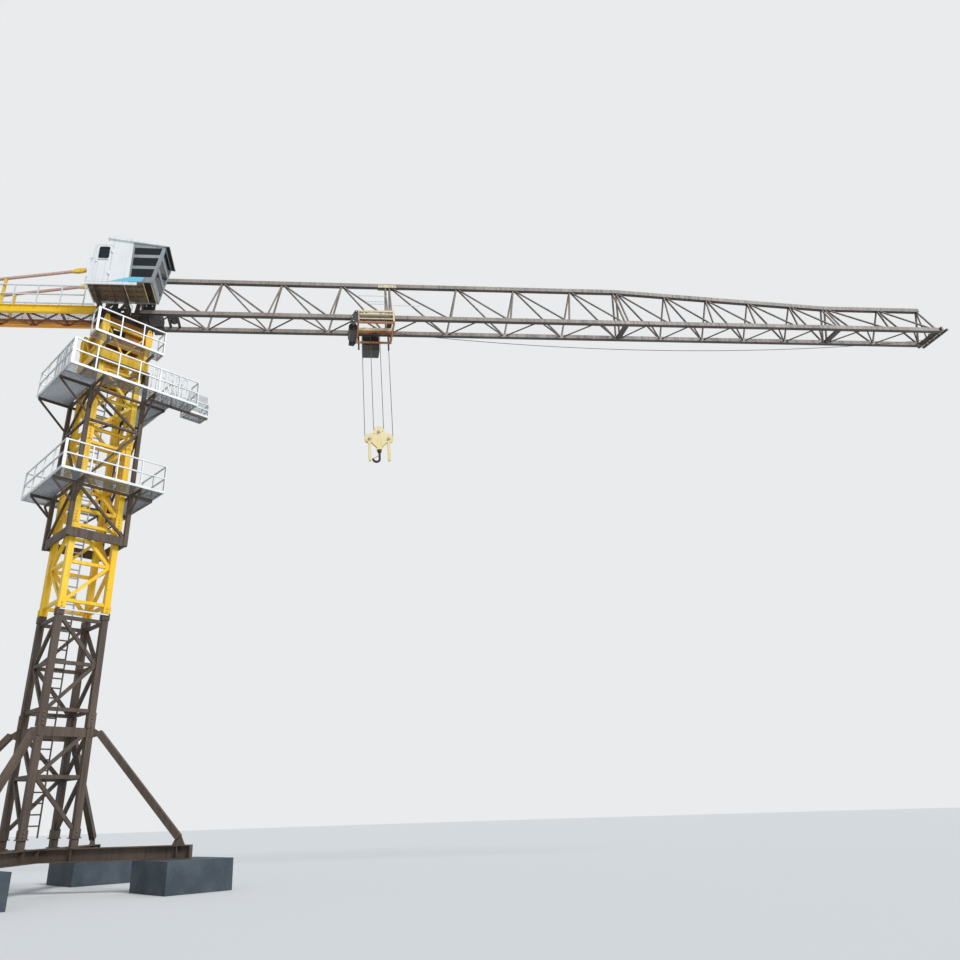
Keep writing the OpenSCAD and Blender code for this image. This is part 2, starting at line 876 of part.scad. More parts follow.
module platform_rails() {
  z = upper_deck_z;
  inner = -(rail_d + panel_gap);
  y = upper_deck_w - upper_near;
  end = upper_end + stand_l;
  color(grey) {
    for (n = [0 : 3])
      tower_side(n)
        rail_panel(lower_deck_z, [-lower_deck_half, -lower_deck_half], [lower_deck_half, -lower_deck_half]);
    tower_side(0) {
      rail_panel(z, [-upper_left, -upper_near], [upper_end, -upper_near]);
      rail_panel(z, [upper_end, -upper_near], [upper_end, y], -rail_d);
      rail_panel(z, [upper_end, y], [upper_right, y], inner);
      rail_panel(z, [upper_right, y], [upper_right, upper_far]);
      rail_panel(z, [upper_right, upper_far], [frame_half, upper_far], -rail_d);
      rail_panel(z, [-frame_half, upper_far], [-upper_left, upper_far]);
      rail_panel(z, [-upper_left, upper_far], [-upper_left, -upper_near]);
      rail_panel(z, [upper_end + rail_d, y], [end, y], rail_d, stand_rail_h);
      rail_panel(z, [end, y], [end, y + stand_w], rail_d, stand_rail_h);
      rail_panel(z, [end, y + stand_w], [upper_end, y + stand_w], rail_d, stand_rail_h);
      rail_panel(z, [upper_end, y + stand_w], [upper_end, y + rail_d], -rail_d, stand_rail_h);
    }
  }
}

// Middle and outer face of the slewing support's posts
support_post_at = support_half - support_beam_w / 2;
support_post_out = support_post_at + mast_brace;

module top_platform_deck() {
  lift = top_deck_z - deck_t - support_beam_top;
  color(grey)
    tower_side(0) {
      block([-top_left, -top_near, top_deck_z - deck_t], [top_left + top_right, top_deck_w, deck_t]);
      for (s = [-1, 1])
        block([s * support_post_at - bracket_w / 2, -top_near, support_beam_top],
           [bracket_w, top_near - support_post_out, lift + 1]);
    }
}

module top_platform_rails() {
  y = top_deck_w - top_near;
  color(grey)
    tower_side(0) {
      rail_panel(top_deck_z, [-top_left, -top_near], [top_right, -top_near]);
      rail_panel(top_deck_z, [top_right, -top_near], [top_right, y]);
      rail_panel(top_deck_z, [-top_left, y], [-top_left, -top_near]);
    }
}

// Slewing parts

// Bars between two posts of the support
module support_drawing() {
  half = support_post_at - mast_brace + 1;
  top = support_beam_top + support_post_h;
  translate([-half, top - support_bar]) square([2 * half, support_bar]);
  intersection() {
    translate([-half, support_beam_top - 1]) square([2 * half, support_post_h]);
    for (s = [-1, 1])
      strip([s * half, top - support_bar / 2], [0, support_beam_top], support_bar * 0.7);
  }
}

// Outline of a lug on a post
module support_lug_drawing() {
  half = support_lug_w / 2;
  difference() {
    polygon([[-half * 0.8, 0], [half * 0.8, 0], [half, support_lug_h * 0.6], [half * 0.4, support_lug_h],
        [-half * 0.4, support_lug_h], [-half, support_lug_h * 0.6]]);
    translate([0, support_lug_h - support_pin_d]) circle(d = support_pin_d, $fn = 24);
  }
}

module slewing_support() {
  inner = support_half - support_beam_w;
  seat = box_half - 2 * box_wall;
  reach = support_post_at + 1;
  lug_bottom = box_bottom + 2 * support_bar;
  color(yellow) {
    tower_side(0) {
      difference() {
        pillar(mast_top, [2 * support_half, 2 * support_half, support_beam_h]);
        pillar(mast_top - 1, [2 * inner, 2 * inner, support_beam_h + 2]);
      }
      at_corners(support_post_at)
        pillar(support_beam_top - 1, [2 * mast_brace, 2 * mast_brace, support_post_h + 1]);
      // Seat for the box
      difference() {
        pillar(box_bottom - support_bar, [2 * reach, 2 * reach, support_bar]);
        pillar(box_bottom - support_bar - 1, [2 * seat, 2 * seat, support_bar + 2]);
      }
    }
    for (n = [0 : 3])
      tower_side(n)
        translate([0, -support_post_at, 0]) {
          upright(support_bar) support_drawing();
          if (n % 2 == 0)
            for (s = [-1, 1])
              translate([s * (support_post_at - 3), 1 - mast_brace - support_lug_t / 2, lug_bottom])
                upright(support_lug_t) support_lug_drawing();
        }
  }
}

module support_box() {
  inner = box_half - box_wall;
  color(rust)
    tower_side(0) difference() {
      pillar(box_bottom, [2 * box_half, 2 * box_half, box_h]);
      pillar(box_bottom - 1, [2 * inner, 2 * inner, box_h - 2 * box_wall + 1]);
      translate([0, 0, box_bottom]) cylinder(d = ring_bore, h = box_h + 1, $fn = 64);
      block([-box_door_w, -box_half - 1, box_bottom + box_h * 0.36], [box_door_w, box_wall + 2, box_door_h]);
    }
}

module slewing_ring() {
  color(dark)
    difference() {
      translate([0, 0, ring_bottom]) cylinder(d = ring_d, h = ring_t, $fn = 64);
      translate([0, 0, ring_bottom - 1]) cylinder(d = ring_bore, h = ring_t + 2, $fn = 64);
    }
}

module turntable() {
  low = table_bottom + slew_gap;
  color(brown)
    difference() {
      union() {
        translate([0, 0, low]) cylinder(d = ring_d, h = slew_flange, $fn = 64);
        translate([0, 0, low + 1]) cylinder(d = drum_ring_d, h = table_h - slew_gap - 2, $fn = 64);
        block([-table_half, -table_side, table_top - table_frame],
           [2 * table_half, 2 * table_side, table_frame]);
      }
      translate([0, 0, table_bottom - 1]) cylinder(d = ring_bore, h = table_h + 2, $fn = 64);
    }
}

module slewing_motors() {
  base = table_bottom + slew_gap + slew_flange;
  color(yellow)
    for (s = [-1, 1])
      translate([0, s * (drum_ring_d / 2 + motor_d / 2 + slew_gap), base]) {
        cylinder(d = motor_d, h = table_h, $fn = 32);
        translate([0, 0, table_h - 1]) cylinder(d = motor_d * 0.7, h = motor_d, $fn = 32);
      }
}

top_pin_z = jib_z + jib_h;
girder_y = girder_gauge / 2;
tie_pin_z = top_pin_z + tie_rise;

module tower_head() {
  rear = -jib_start + head_leg / 2 + tie_w;
  front = jib_start - head_leg / 2 - lug_reach;
  half = head_leg / 2;
  leg_y = jib_gauge / 2;
  thin = head_leg * 0.7;
  low = table_top + half;
  high = top_pin_z - half;
  color(brown) {
    // Front frame, which narrows towards the pin of the jib's top chord
    block([front - half, -leg_y - half, table_top], [head_leg, jib_gauge + head_leg, head_leg]);
    for (s = [-1, 1])
      bar([front, s * leg_y, low], [front, 0, high], head_leg - 4);
    block([front - half, -half, high - half], [head_leg, head_leg, head_leg]);
    // Rear frame, which carries the ties
    for (s = [-1, 1])
      block([rear - half, s * girder_y - half, table_top],
         [head_leg, head_leg, tie_pin_z + tie_w - table_top]);
    for (z = [jib_z + half, tie_pin_z])
      bar([rear, -girder_y, z], [rear, girder_y, z], thin);
    for (s = [-1, 1]) {
      bar([rear, s * girder_y, low], [front, 0, high], thin - 6);
      bar([rear, s * girder_y, high], [front, 0, high], thin - 3);
    }
    // Lugs for the jib's three chords
    for (s = [-1, 1])
      block([front, s * leg_y - thin / 2, jib_z - half], [jib_start - front, thin, head_leg]);
    block([front, -thin / 2, top_pin_z - half], [jib_start - front, thin, head_leg - 6]);
  }
}

// Cab

cab_top = cab_z + cab_h;
shoulder_z = cab_z + cab_rear_h;
floor_top = cab_z + cab_rib_h + cab_floor_t;
panel_end = roof_rear + side_panel;
lean_front = cab_front + glass_lean;
roof_front = lean_front + roof_reach;

// Height of the roof's underside at a place along the cab
function roof_under(x) = cab_top - roof_t - roof_fall * (x - roof_rear) / (roof_front - roof_rear);

// Front face of the cab at a height
function front_x(z) = cab_front + glass_lean * (z - cab_z) / (roof_under(lean_front) - cab_z);

// Top of a row of windows
function window_top(i) =
  min(cab_z + window_z + i * window_pitch + window_h, roof_under(lean_front) - window_frame);
function window_low(i) = cab_z + window_z + i * window_pitch;

module cab_bracket() {
  low = table_top - table_frame;
  color(brown)
    for (s = [-1, 1])
      translate([s * table_half * 0.6, 0, 0])
        rotate(90) upright(cab_bracket_t)
        polygon([[-table_side, low], [-table_side, cab_z], [-cab_outer + cab_wall, cab_z],
            [-cab_outer + cab_wall, cab_z - bracket_w], [-table_side - table_frame, low]]);
}

module cab_floor() {
  inner = cab_width - 2 * cab_wall;
  lean = rear_lean * (cab_rib_h + cab_floor_t) / cab_rear_h + panel_gap;
  length = cab_front - cab_rear - 2 * cab_wall - lean;
  color("#7d6c58")
    translate([cab_rear + cab_wall + lean, -cab_outer + cab_wall, cab_z]) {
      translate([0, 0, cab_rib_h]) cube([length, inner, cab_floor_t]);
      for (i = [1 : 3])
        translate([0, i * inner / 4 - cab_wall / 2, 0]) cube([length, cab_wall, cab_rib_h + 1]);
      for (x = [0.32, 0.68])
        translate([x * length, 0, 0]) cube([cab_wall, inner, cab_rib_h + 1]);
    }
}

cab_width = cab_outer - cab_inner;
cab_middle = -(cab_inner + cab_outer) / 2;
side_wall_ys = [-cab_outer + cab_wall / 2, -cab_inner - cab_wall / 2];

// Outline of a side wall
module side_outline() {
  polygon([[cab_rear, cab_z], [panel_end, cab_z], [panel_end, roof_under(panel_end) - panel_gap],
      [roof_rear, roof_under(roof_rear) - panel_gap], [roof_rear, shoulder_z],
      [cab_rear + rear_lean, shoulder_z]]);
}

// Outline of the rear wall, seen from the side
module rear_outline() {
  polygon([[cab_rear, cab_z], [cab_rear + cab_wall, cab_z],
      [cab_rear + rear_lean + cab_wall, shoulder_z], [cab_rear + rear_lean, shoulder_z]]);
}

// Centre line of the door's hinges
hinge_x = door_x + door_w - door_gap / 2;
hinge_y = -cab_outer - hinge_d * 0.9 - panel_gap;
hinge_levels = [floor_top + door_h * 0.16, floor_top + door_h * 0.8];

module cab_walls() {
  color(white) {
    difference() {
      translate([0, -cab_outer + cab_wall / 2, 0]) upright(cab_wall) side_outline();
      block([door_x, -cab_outer - 1, floor_top], [door_w, cab_wall + 2, door_h + 2 * door_gap]);
    }
    translate([0, -cab_inner - cab_wall / 2, 0]) upright(cab_wall) side_outline();
    translate([0, cab_middle, 0]) upright(cab_width - cab_wall) rear_outline();
    block([cab_rear + rear_lean + 1, -cab_outer + cab_wall / 2, shoulder_z - cab_wall],
       [roof_rear - cab_rear - rear_lean, cab_width - cab_wall, cab_wall - 0.5]);
    block([roof_rear + 0.5, -cab_outer + cab_wall / 2, shoulder_z - cab_wall],
       [cab_wall, cab_width - cab_wall, roof_under(roof_rear + cab_wall) - shoulder_z + cab_wall - 1]);
    // Hinge pins, each on a small bracket
    for (z = hinge_levels) {
      translate([hinge_x, hinge_y, z]) cylinder(d = hinge_d, h = hinge_h + 8, $fn = 24);
      block([hinge_x - hinge_d / 2, hinge_y - hinge_d / 2, z - hinge_h / 3],
         [hinge_d * 2, hinge_d, hinge_h / 3 + 0.5]);
      block([hinge_x + hinge_d / 2, hinge_y - hinge_d / 2, z - hinge_h / 3],
         [hinge_d, hinge_d * 1.4 + 2, hinge_h / 3 + 0.5]);
    }
  }
}

// Outline of the windows' frame, seen from the side
module window_outline() {
  top = roof_under(lean_front);
  polygon([[panel_end, cab_z], [cab_front, cab_z], [lean_front, top - panel_gap],
      [panel_end, roof_under(panel_end) - panel_gap]]);
}

// Outline of one side window
module window_hole(i) {
  low = window_low(i);
  top = window_top(i);
  polygon([[panel_end + window_frame, low], [front_x(low) - window_frame - cab_wall, low],
      [front_x(top) - window_frame - cab_wall, top], [panel_end + window_frame, top]]);
}

// Slab behind the front face, from one depth to another
module front_outline(from, to) {
  top = roof_under(lean_front);
  polygon([[cab_front - to, cab_z], [cab_front - from, cab_z],
      [lean_front - from, top - panel_gap - 0.2], [lean_front - to, top - panel_gap - 0.2]]);
}

// Box through the front at a row of windows
module front_hole(i) {
  y = -cab_outer + cab_wall + window_frame;
  block([cab_front - 4 * cab_wall, y, window_low(i)],
     [glass_lean + 8 * cab_wall, cab_width - 2 * (cab_wall + window_frame), window_top(i) - window_low(i)]);
}

module cab_window_frame() {
  color(grey) {
    for (y = side_wall_ys)
      translate([0, y, 0])
        upright(cab_wall) difference() {
          window_outline();
          for (i = [0 : 2]) window_hole(i);
        }
    difference() {
      translate([0, cab_middle, 0]) upright(cab_width - cab_wall) front_outline(0.5, cab_wall);
      for (i = [0 : 2]) front_hole(i);
    }
  }
}

module cab_glass() {
  inset = (cab_wall - glass_t) / 2;
  color("#26323a") {
    for (y = side_wall_ys, i = [0 : 2])
      translate([0, y, 0]) upright(glass_t) window_hole(i);
    for (i = [0 : 2])
      intersection() {
        translate([0, cab_middle, 0]) upright(cab_width) front_outline(inset, inset + glass_t);
        front_hole(i);
      }
  }
}

module cab_roof() {
  color(white)
    translate([0, cab_middle, 0]) upright(cab_width + 2 * roof_over)
    polygon([[roof_rear - roof_over, roof_under(roof_rear - roof_over)], [roof_front, roof_under(roof_front)],
        [roof_front, roof_under(roof_front) + roof_tip_t], [roof_rear + roof_t, cab_top],
        [roof_rear - roof_over, cab_top - roof_t / 2]]);
}

// Rectangle with round corners
module rounded(w, h, r) {
  translate([r, 0]) square([w - 2 * r, h]);
  translate([0, r]) square([w, h - 2 * r]);
  for (x = [r, w - r], y = [r, h - r])
    translate([x, y]) circle(r = r, $fn = 24);
}

door_low = floor_top + door_gap;
door_leaf_h = door_h - door_gap;

// The door's window, drawn at its place
module door_window() {
  translate([door_x + (door_w - door_window_w) / 2, door_low + door_leaf_h * 0.62])
    rounded(door_window_w, door_window_h, door_window_r);
}

module cab_door() {
  bore = hinge_d + 2 * hinge_gap;
  color(white)
    difference() {
      union() {
        difference() {
          block([door_x + door_gap, -cab_outer, door_low], [door_w - 2 * door_gap, cab_wall, door_leaf_h]);
          translate([0, -cab_outer + cab_wall / 2, 0]) upright(2 * cab_wall) door_window();
        }
        // Knuckles with their leaves
        for (z = hinge_levels) {
          translate([hinge_x, hinge_y, z + 1]) cylinder(d = hinge_d * 1.8, h = hinge_h, $fn = 32);
          block([hinge_x - hinge_h, -cab_outer - hinge_d / 2, z + 1], [hinge_h, hinge_d / 2 + 1, hinge_h]);
        }
        // Handle
        block([door_x + cab_wall, -cab_outer - cab_wall, door_low + door_leaf_h * 0.5],
           [cab_wall, cab_wall + 1, 2 * cab_wall]);
      }
      for (z = hinge_levels)
        translate([hinge_x, hinge_y, z]) cylinder(d = bore, h = hinge_h + 2, $fn = 24);
    }
}

module cab_door_glass() {
  color("#26323a")
    translate([0, -cab_outer + cab_wall / 2, 0]) upright(glass_t) door_window();
}

// Jib

// Height of the top chord above the bottom chords
function top_height(s, x) = s[4] + (s[5] - s[4]) * (x - s[0]) / (s[1] * s[2]);
function section_end(s) = s[0] + s[1] * s[2];
function node_x(s, i) = s[0] + i * s[2];
function top_x(s, i) = node_x(s, i) + (i == 0 || i == s[1] ? 0 : s[3]);
function low_point(x, side) = [x, side * jib_gauge / 2, jib_z];
function top_point(s, x) = [x, 0, jib_z + top_height(s, x)];

// Bore of a chord, a little longer than the chord
module chord_hole(p, q) {
  v = (q - p) / norm(q - p);
  bar(p - v, q + v, chord_w - 2 * chord_wall);
}

module jib_section(s) {
  start = s[0];
  end = section_end(s);
  inset = chord_w / 2;
  top = [top_point(s, start - inset), top_point(s, end + inset)];
  color(dark) {
    intersection() {
      block([start, -jib_gauge, jib_z - chord_w], [end - start, 2 * jib_gauge, jib_h + 2 * chord_w]);
      difference() {
        union() {
          for (side = [-1, 1]) {
            bar(low_point(start, side), low_point(end, side), chord_w);
            for (i = [0 : s[1]]) {
              x = i == 0 ? start + inset : i == s[1] ? end - inset : node_x(s, i);
              xt = i == 0 ? start + inset : i == s[1] ? end - inset : top_x(s, i);
              x_next = i == s[1] - 1 ? end - inset : node_x(s, i + 1);
              rod(low_point(x, side), top_point(s, xt), web_d);
              if (i < s[1])
                rod(top_point(s, xt), low_point(x_next, side), web_d);
            }
          }
          bar(top[0], top[1], chord_w);
          // Bracing of the underside
          for (i = [0 : s[1] - 1]) {
            a = i == 0 ? start + inset : node_x(s, i);
            b = i == s[1] - 1 ? end - inset : node_x(s, i + 1);
            rod(low_point(a, 1), low_point((a + b) / 2, -1), web_d * 0.8);
            rod(low_point((a + b) / 2, -1), low_point(b, 1), web_d * 0.8);
          }
        }
        for (side = [-1, 1])
          chord_hole(low_point(start, side), low_point(end, side));
        chord_hole(top[0], top[1]);
      }
    }
    // Cross bars between the bottom chords at both ends
    for (x = [start, end - cross_w])
      translate([x + cross_w / 2, 0, 0])
        pillar(jib_z - cross_w / 2, [cross_w, jib_gauge - chord_w + 2, cross_w]);
  }
}

// Height of the pull rope, and centre of the sheaves at the jib's tip
pull_z = jib_z + pull_rope_z;
tip_sheave = [jib_end + tip_reach / 2, pull_z - rope_d / 2 - rope_gap - tip_sheave_d / 2];

module jib_section_4() {
  tip_x = jib_end + tip_reach;
  inner_x = jib_end + web_d - 1;
  length = tip_reach - 2 * web_d + 2;
  reach = jib_gauge / 2 + chord_w;
  low = jib_z - chord_w / 2;
  plate_y = sheave_w / 2 + sheave_gap;
  jib_section(section_4);
  color(dark) {
    // Tip: cross bars, side bars and sloping bars from the top chord
    block([jib_end, -reach, low], [web_d, 2 * reach, chord_w]);
    block([tip_x - web_d, -reach, low], [web_d, 2 * reach, web_d]);
    for (side = [-1, 1]) {
      y = side * jib_gauge / 3;
      block([inner_x, y - web_d / 2, low + 2], [length, web_d, web_d - 4]);
      rod(top_point(section_4, jib_end - chord_w / 2), [tip_x - web_d / 2, y, jib_z - web_d / 2],
        web_d * 0.8);
      // Plate beside the sheave at the tip
      block([inner_x, side > 0 ? plate_y : -plate_y - cheek_t, low + 2],
         [length, cheek_t, tip_sheave[1] - low + sheave_pin_d / 2]);
    }
    across([tip_sheave[0], plate_y + 1, tip_sheave[1]])
      cylinder(d = sheave_pin_d / 2, h = 2 * plate_y + 2, $fn = 24);
    across([tip_sheave[0], sheave_w / 2, tip_sheave[1]])
      cylinder(d = tip_sheave_d, h = sheave_w, $fn = 32);
  }
}

// Drum that pulls the trolley, on two bars across the jib's first bay
module trolley_winch() {
  plate_y = pull_gauge / 2 + 2 * cheek_t;
  axle_z = pull_z - rope_d / 2 - rope_gap - trolley_drum_d / 2;
  half = (trolley_drum_d + cross_w) / 2;
  low = jib_z + web_d * 0.4;
  plate_h = axle_z - jib_z + trolley_drum_d / 4;
  color(dark)
    translate([trolley_winch_x, 0, 0]) {
      for (s = [-1, 1]) {
        translate([s * half, 0, 0]) pillar(low, [cross_w, jib_gauge - chord_w, cross_w / 2]);
        translate([0, s * plate_y, 0]) pillar(low + 1, [2 * half, cheek_t, plate_h]);
      }
      across([0, plate_y, axle_z]) cylinder(d = trolley_drum_d, h = 2 * plate_y, $fn = 48);
      // Taut run of its rope, to the sheave at the tip
      rod([0, 0, pull_z], [tip_sheave[0] - trolley_winch_x, 0, pull_z], rope_d);
    }
}

// Counter-jib

girder_bottom = jib_z - head_leg / 4;
girder_top = girder_bottom + girder_h;

// Inner end of the girders, on the tower head's rear legs
girder_root = jib_start - tie_w;
// Outer and inner edge of the bay that holds the counterweights
slab_first = -counter_reach + member_w + slab_gap;
slab_pitch = slab_t + panel_gap;
slab_bay = slab_first + slab_count * slab_pitch + slab_gap;

// Cross members at the ends and between the lattice bays
bay_count = floor((-girder_root - slab_bay) / cross_bay);
bay_l = (-girder_root - slab_bay) / bay_count;
member_step = bay_l - member_w / bay_count;
member_xs = concat([-counter_reach], [for (i = [0 : bay_count]) slab_bay + i * member_step]);

module counter_jib_frame() {
  half = girder_gauge / 2 - girder_t / 2;
  low = girder_bottom + girder_t;
  z = low + diagonal_w / 2 + 1;
  color(yellow) {
    for (s = [-1, 1])
      translate([-counter_reach, s * girder_y, girder_bottom])
        rotate([90, 0, 90]) linear_extrude(counter_reach - girder_root)
        i_profile(girder_h, girder_w, girder_t, girder_t);
    for (x = member_xs)
      block([x, -half, low], [member_w, 2 * half, member_w]);
    // Crossed diagonals in each bay
    for (i = [1 : bay_count], s = [girder_t - half, half - girder_t])
      bar([member_xs[i] + member_w / 2, s, z], [member_xs[i + 1] + member_w / 2, -s, z], diagonal_w);
  }
}

module counter_jib_deck() {
  color(grey)
    block([slab_bay, -girder_y + girder_w / 2 + panel_gap, girder_bottom + girder_t + member_w],
       [-girder_root - slab_bay, girder_gauge - girder_w - 2 * panel_gap, deck_t / 2]);
}

module counter_jib_rails() {
  color(grey)
    for (s = [-1, 1])
      translate([-counter_reach, s * (girder_y + girder_w / 2 + rail_d / 2), 0])
        upright(rail_d)
        rail_drawing(counter_reach - girder_root - counter_rail_gap, girder_top,
                     counter_rail_h, 2 * girder_t);
}

module counter_jib_ties() {
  foot = [slab_bay + tie_clear + 2 * tie_w, girder_top + tie_foot_h];
  head = [-jib_start + tie_w - panel_gap, tie_pin_z];
  slope = (head[1] - foot[1]) / (head[0] - foot[0]);
  post_top = foot[1] + slope * (-tie_post_x - foot[0]);
  half = tie_w / 2;
  outline = [[-0.5, 0.4], [-0.2, 1], [0.2, 1], [0.5, 0.4]];
  color("#b08d84")
    for (s = [-1, 1])
      translate([0, s * girder_y, 0]) {
        difference() {
          union() {
            bar([foot[0], 0, foot[1]], [head[0] - slope * half, 0, head[1] - slope * slope * half], tie_w);
            // Joint plate round its pin
            upright(tie_w * 1.4)
              translate([-tie_joint_x, head[1] - slope * (tie_joint_x + head[0])]) rotate(atan(slope))
              polygon([for (t = [-1, 1]) for (q = outline) [-t * q[0] * tie_lug_l, t * q[1] * tie_w]]);
          }
          upright(tie_w * 2)
            translate([half - tie_joint_x, head[1] - slope * (tie_joint_x + head[0] - half)])
            circle(d = half, $fn = 24);
        }
        // Outer lug, and post under the tie
        upright(half)
          polygon([[foot[0] - 2 * tie_w, girder_top], [foot[0] + 2 * tie_w, girder_top],
              [foot[0] + tie_w, foot[1] + tie_w], [foot[0] - tie_w, foot[1] + tie_w]]);
        translate([-tie_post_x, 0, 0])
          pillar(girder_top, [tie_w + 8, tie_w + 8, post_top - girder_top]);
      }
}

module counterweights() {
  stem = girder_gauge / 2 - girder_w / 2 - slab_gap;
  shoulder = girder_gauge / 2 + girder_w / 2;
  color("#9b9a94")
    for (i = [0 : slab_count - 1])
      translate([slab_first + i * slab_pitch, 0, girder_top])
        rotate([90, 0, 90]) linear_extrude(slab_t)
        polygon([[-shoulder, 0], [-stem, 0], [-stem, -slab_h], [stem, -slab_h], [stem, 0],
            [shoulder, 0], [shoulder, slab_head], [-shoulder, slab_head]]);
}

module hoist_winch() {
  plate = 2 * girder_t;
  translate([slab_bay + drum_d * 1.7, 0, girder_top]) {
    color(yellow) {
      pillar(0, [2 * drum_d, girder_gauge, plate]);
      for (s = [-1, 1])
        translate([0, s * (drum_l / 2 + plate), 1]) pillar(0, [drum_d * 2 / 3, plate, drum_d]);
      // Motor and gearbox beside the drum
      block([-drum_d * 0.9, -drum_l / 2, 1], [drum_d * 0.3, drum_l, drum_d * 0.4]);
    }
    color(dark)
      across([0, drum_l / 2 + plate, drum_d * 0.62]) cylinder(d = drum_d, h = drum_l + 2 * plate, $fn = 48);
  }
}

module electric_cabinet() {
  color("#8b9294")
    block([-tie_post_x - 2 * cabinet_w, -girder_y, girder_top], [cabinet_w, girder_gauge / 2, cabinet_h]);
}

// Trolley

frame_y = jib_gauge / 2 + chord_w / 2 + side_gap;
axle_z = jib_z + chord_w / 2 + wheel_gap + wheel_d / 2;
frame_top = axle_z + trolley_bar;
frame_low = frame_top - trolley_h;
wheel_reach = trolley_l / 2 - wheel_d;
// Centres of the four falls beside the block's side sheaves
fall_r = sheave_r + rope_gap + rope_d / 2;
fall_xs = [-lobe_x - fall_r, -lobe_x + fall_r, lobe_x - fall_r, lobe_x + fall_r];
// Sheaves that lead the falls
middle_sheave_r = lobe_x - fall_r - rope_d / 2 - rope_gap;
outer_sheave_x = lobe_x + fall_r + rope_d / 2 + rope_gap + outer_sheave_r;
middle_sheave_z = frame_low + sheave_plate_h / 2;
outer_sheave_z = frame_low + trolley_bar + outer_sheave_r + panel_gap;
trolley_sheaves = [[-outer_sheave_x, outer_sheave_z, outer_sheave_r], [0, middle_sheave_z, middle_sheave_r],
         [outer_sheave_x, outer_sheave_z, outer_sheave_r]];

module trolley_frame() {
  left = trolley_x - trolley_l / 2;
  plate_y = sheave_w / 2 + sheave_gap;
  color("#e8dcc0") {
    for (s = [-1, 1])
      translate([left, s * (frame_y + trolley_bar / 2), 0])
        upright(trolley_bar) {
          for (z = [frame_low, frame_top - trolley_bar])
            translate([0, z]) square([trolley_l, trolley_bar]);
          for (x = [0, trolley_l - trolley_bar])
            translate([x, frame_low]) square([trolley_bar, trolley_h]);
        }
    for (x = [0, trolley_l - trolley_bar])
      block([left + x, -frame_y - 1, frame_low], [trolley_bar, 2 * frame_y + 2, trolley_bar]);
    // Plates that hold the sheaves' pins
    for (s = [-1, 1])
      block([left + 1, s * (plate_y + cheek_t / 2) - cheek_t / 2, frame_low + 2],
         [trolley_l - 2, cheek_t, sheave_plate_h]);
    for (p = trolley_sheaves)
      across([trolley_x + p[0], plate_y + 1, p[1]])
        cylinder(d = sheave_pin_d / 2, h = 2 * plate_y + 2, $fn = 24);
    // Axle stubs of the wheels
    for (x = [-wheel_reach, wheel_reach], s = [-1, 1])
      across([trolley_x + x, s > 0 ? frame_y + 1 : -frame_y - 1 + wheel_w + side_gap - wheel_hold, axle_z])
        cylinder(d = wheel_d / 3, h = wheel_w + side_gap - wheel_hold, $fn = 24);
  }
}

module trolley_wheels() {
  outer = jib_gauge / 2 + chord_w / 2 - wheel_hold + wheel_w;
  color(dark)
    for (x = [-wheel_reach, wheel_reach], s = [-1, 1])
      across([trolley_x + x, s > 0 ? outer : -outer + wheel_w, axle_z])
        difference() {
          cylinder(d = wheel_d, h = wheel_w, $fn = 32);
          translate([0, 0, -1]) cylinder(d = wheel_d / 3 + 2 * pin_gap, h = wheel_w + 2, $fn = 24);
        }
}

module trolley_sheaves() {
  color(dark)
    for (p = trolley_sheaves)
      across([trolley_x + p[0], sheave_w / 2, p[1]])
        difference() {
          cylinder(r = p[2], h = sheave_w, $fn = 48);
          translate([0, 0, -1]) cylinder(d = sheave_pin_d / 2 + 2 * pin_gap, h = sheave_w + 2, $fn = 24);
        }
}

module trolley_basket() {
  x = trolley_x - basket_l / 2 - basket_back;
  y = frame_y + trolley_bar;
  color(dark)
    translate([x, y, jib_z - basket_drop]) difference() {
      cube([basket_l, basket_w, basket_h]);
      translate([sheet_t, sheet_t, sheet_t]) cube([basket_l - 2 * sheet_t, basket_w - 2 * sheet_t, basket_h]);
    }
}

// Slack rope between the trolley and the tip: a tube along a sagging curve
slack_rings = 40;
slack_from = [trolley_x + trolley_l / 2 + rope_d / 10, frame_low + trolley_bar / 2];
slack_to = [jib_end + web_d / 2, jib_z - chord_w / 2 - rope_d / 2 - rope_gap];
function slack_point(t) =
  slack_from + t * (slack_to - slack_from) - [0, 4 * rope_sag * t * (1 - t)];
function slack_ring(i) =
  let (t = i / slack_rings, c = slack_point(t),
    d = slack_point(t + 0.01) - slack_point(t - 0.01), n = [-d[1], d[0]] / norm(d))
  [for (a = [0 : 45 : 315]) [c[0], 0, c[1]] + [n[0] * cos(a), sin(a), n[1] * cos(a)] * rope_d / 2];

module slack_rope() {
  points = [for (i = [0 : slack_rings]) each slack_ring(i)];
  last = slack_rings * 8;
  color(dark)
    polyhedron(points, concat(
      [[for (a = [0 : 7]) a], [for (a = [0 : 7]) last + 7 - a]],
      [for (i = [0 : slack_rings - 1], a = [0 : 7])
        [i * 8 + a, (i + 1) * 8 + a, (i + 1) * 8 + (a + 1) % 8, i * 8 + (a + 1) % 8]]));
}

// Falls between the trolley's sheaves and the hook block's
module hoist_ropes() {
  color(dark)
    for (x = fall_xs)
      translate([trolley_x + x, 0, block_z])
        cylinder(d = rope_d, h = (abs(x) < lobe_x ? middle_sheave_z : outer_sheave_z) - block_z, $fn = 8);
}

// Hook block

cheek_low = -2 * lobe_r;

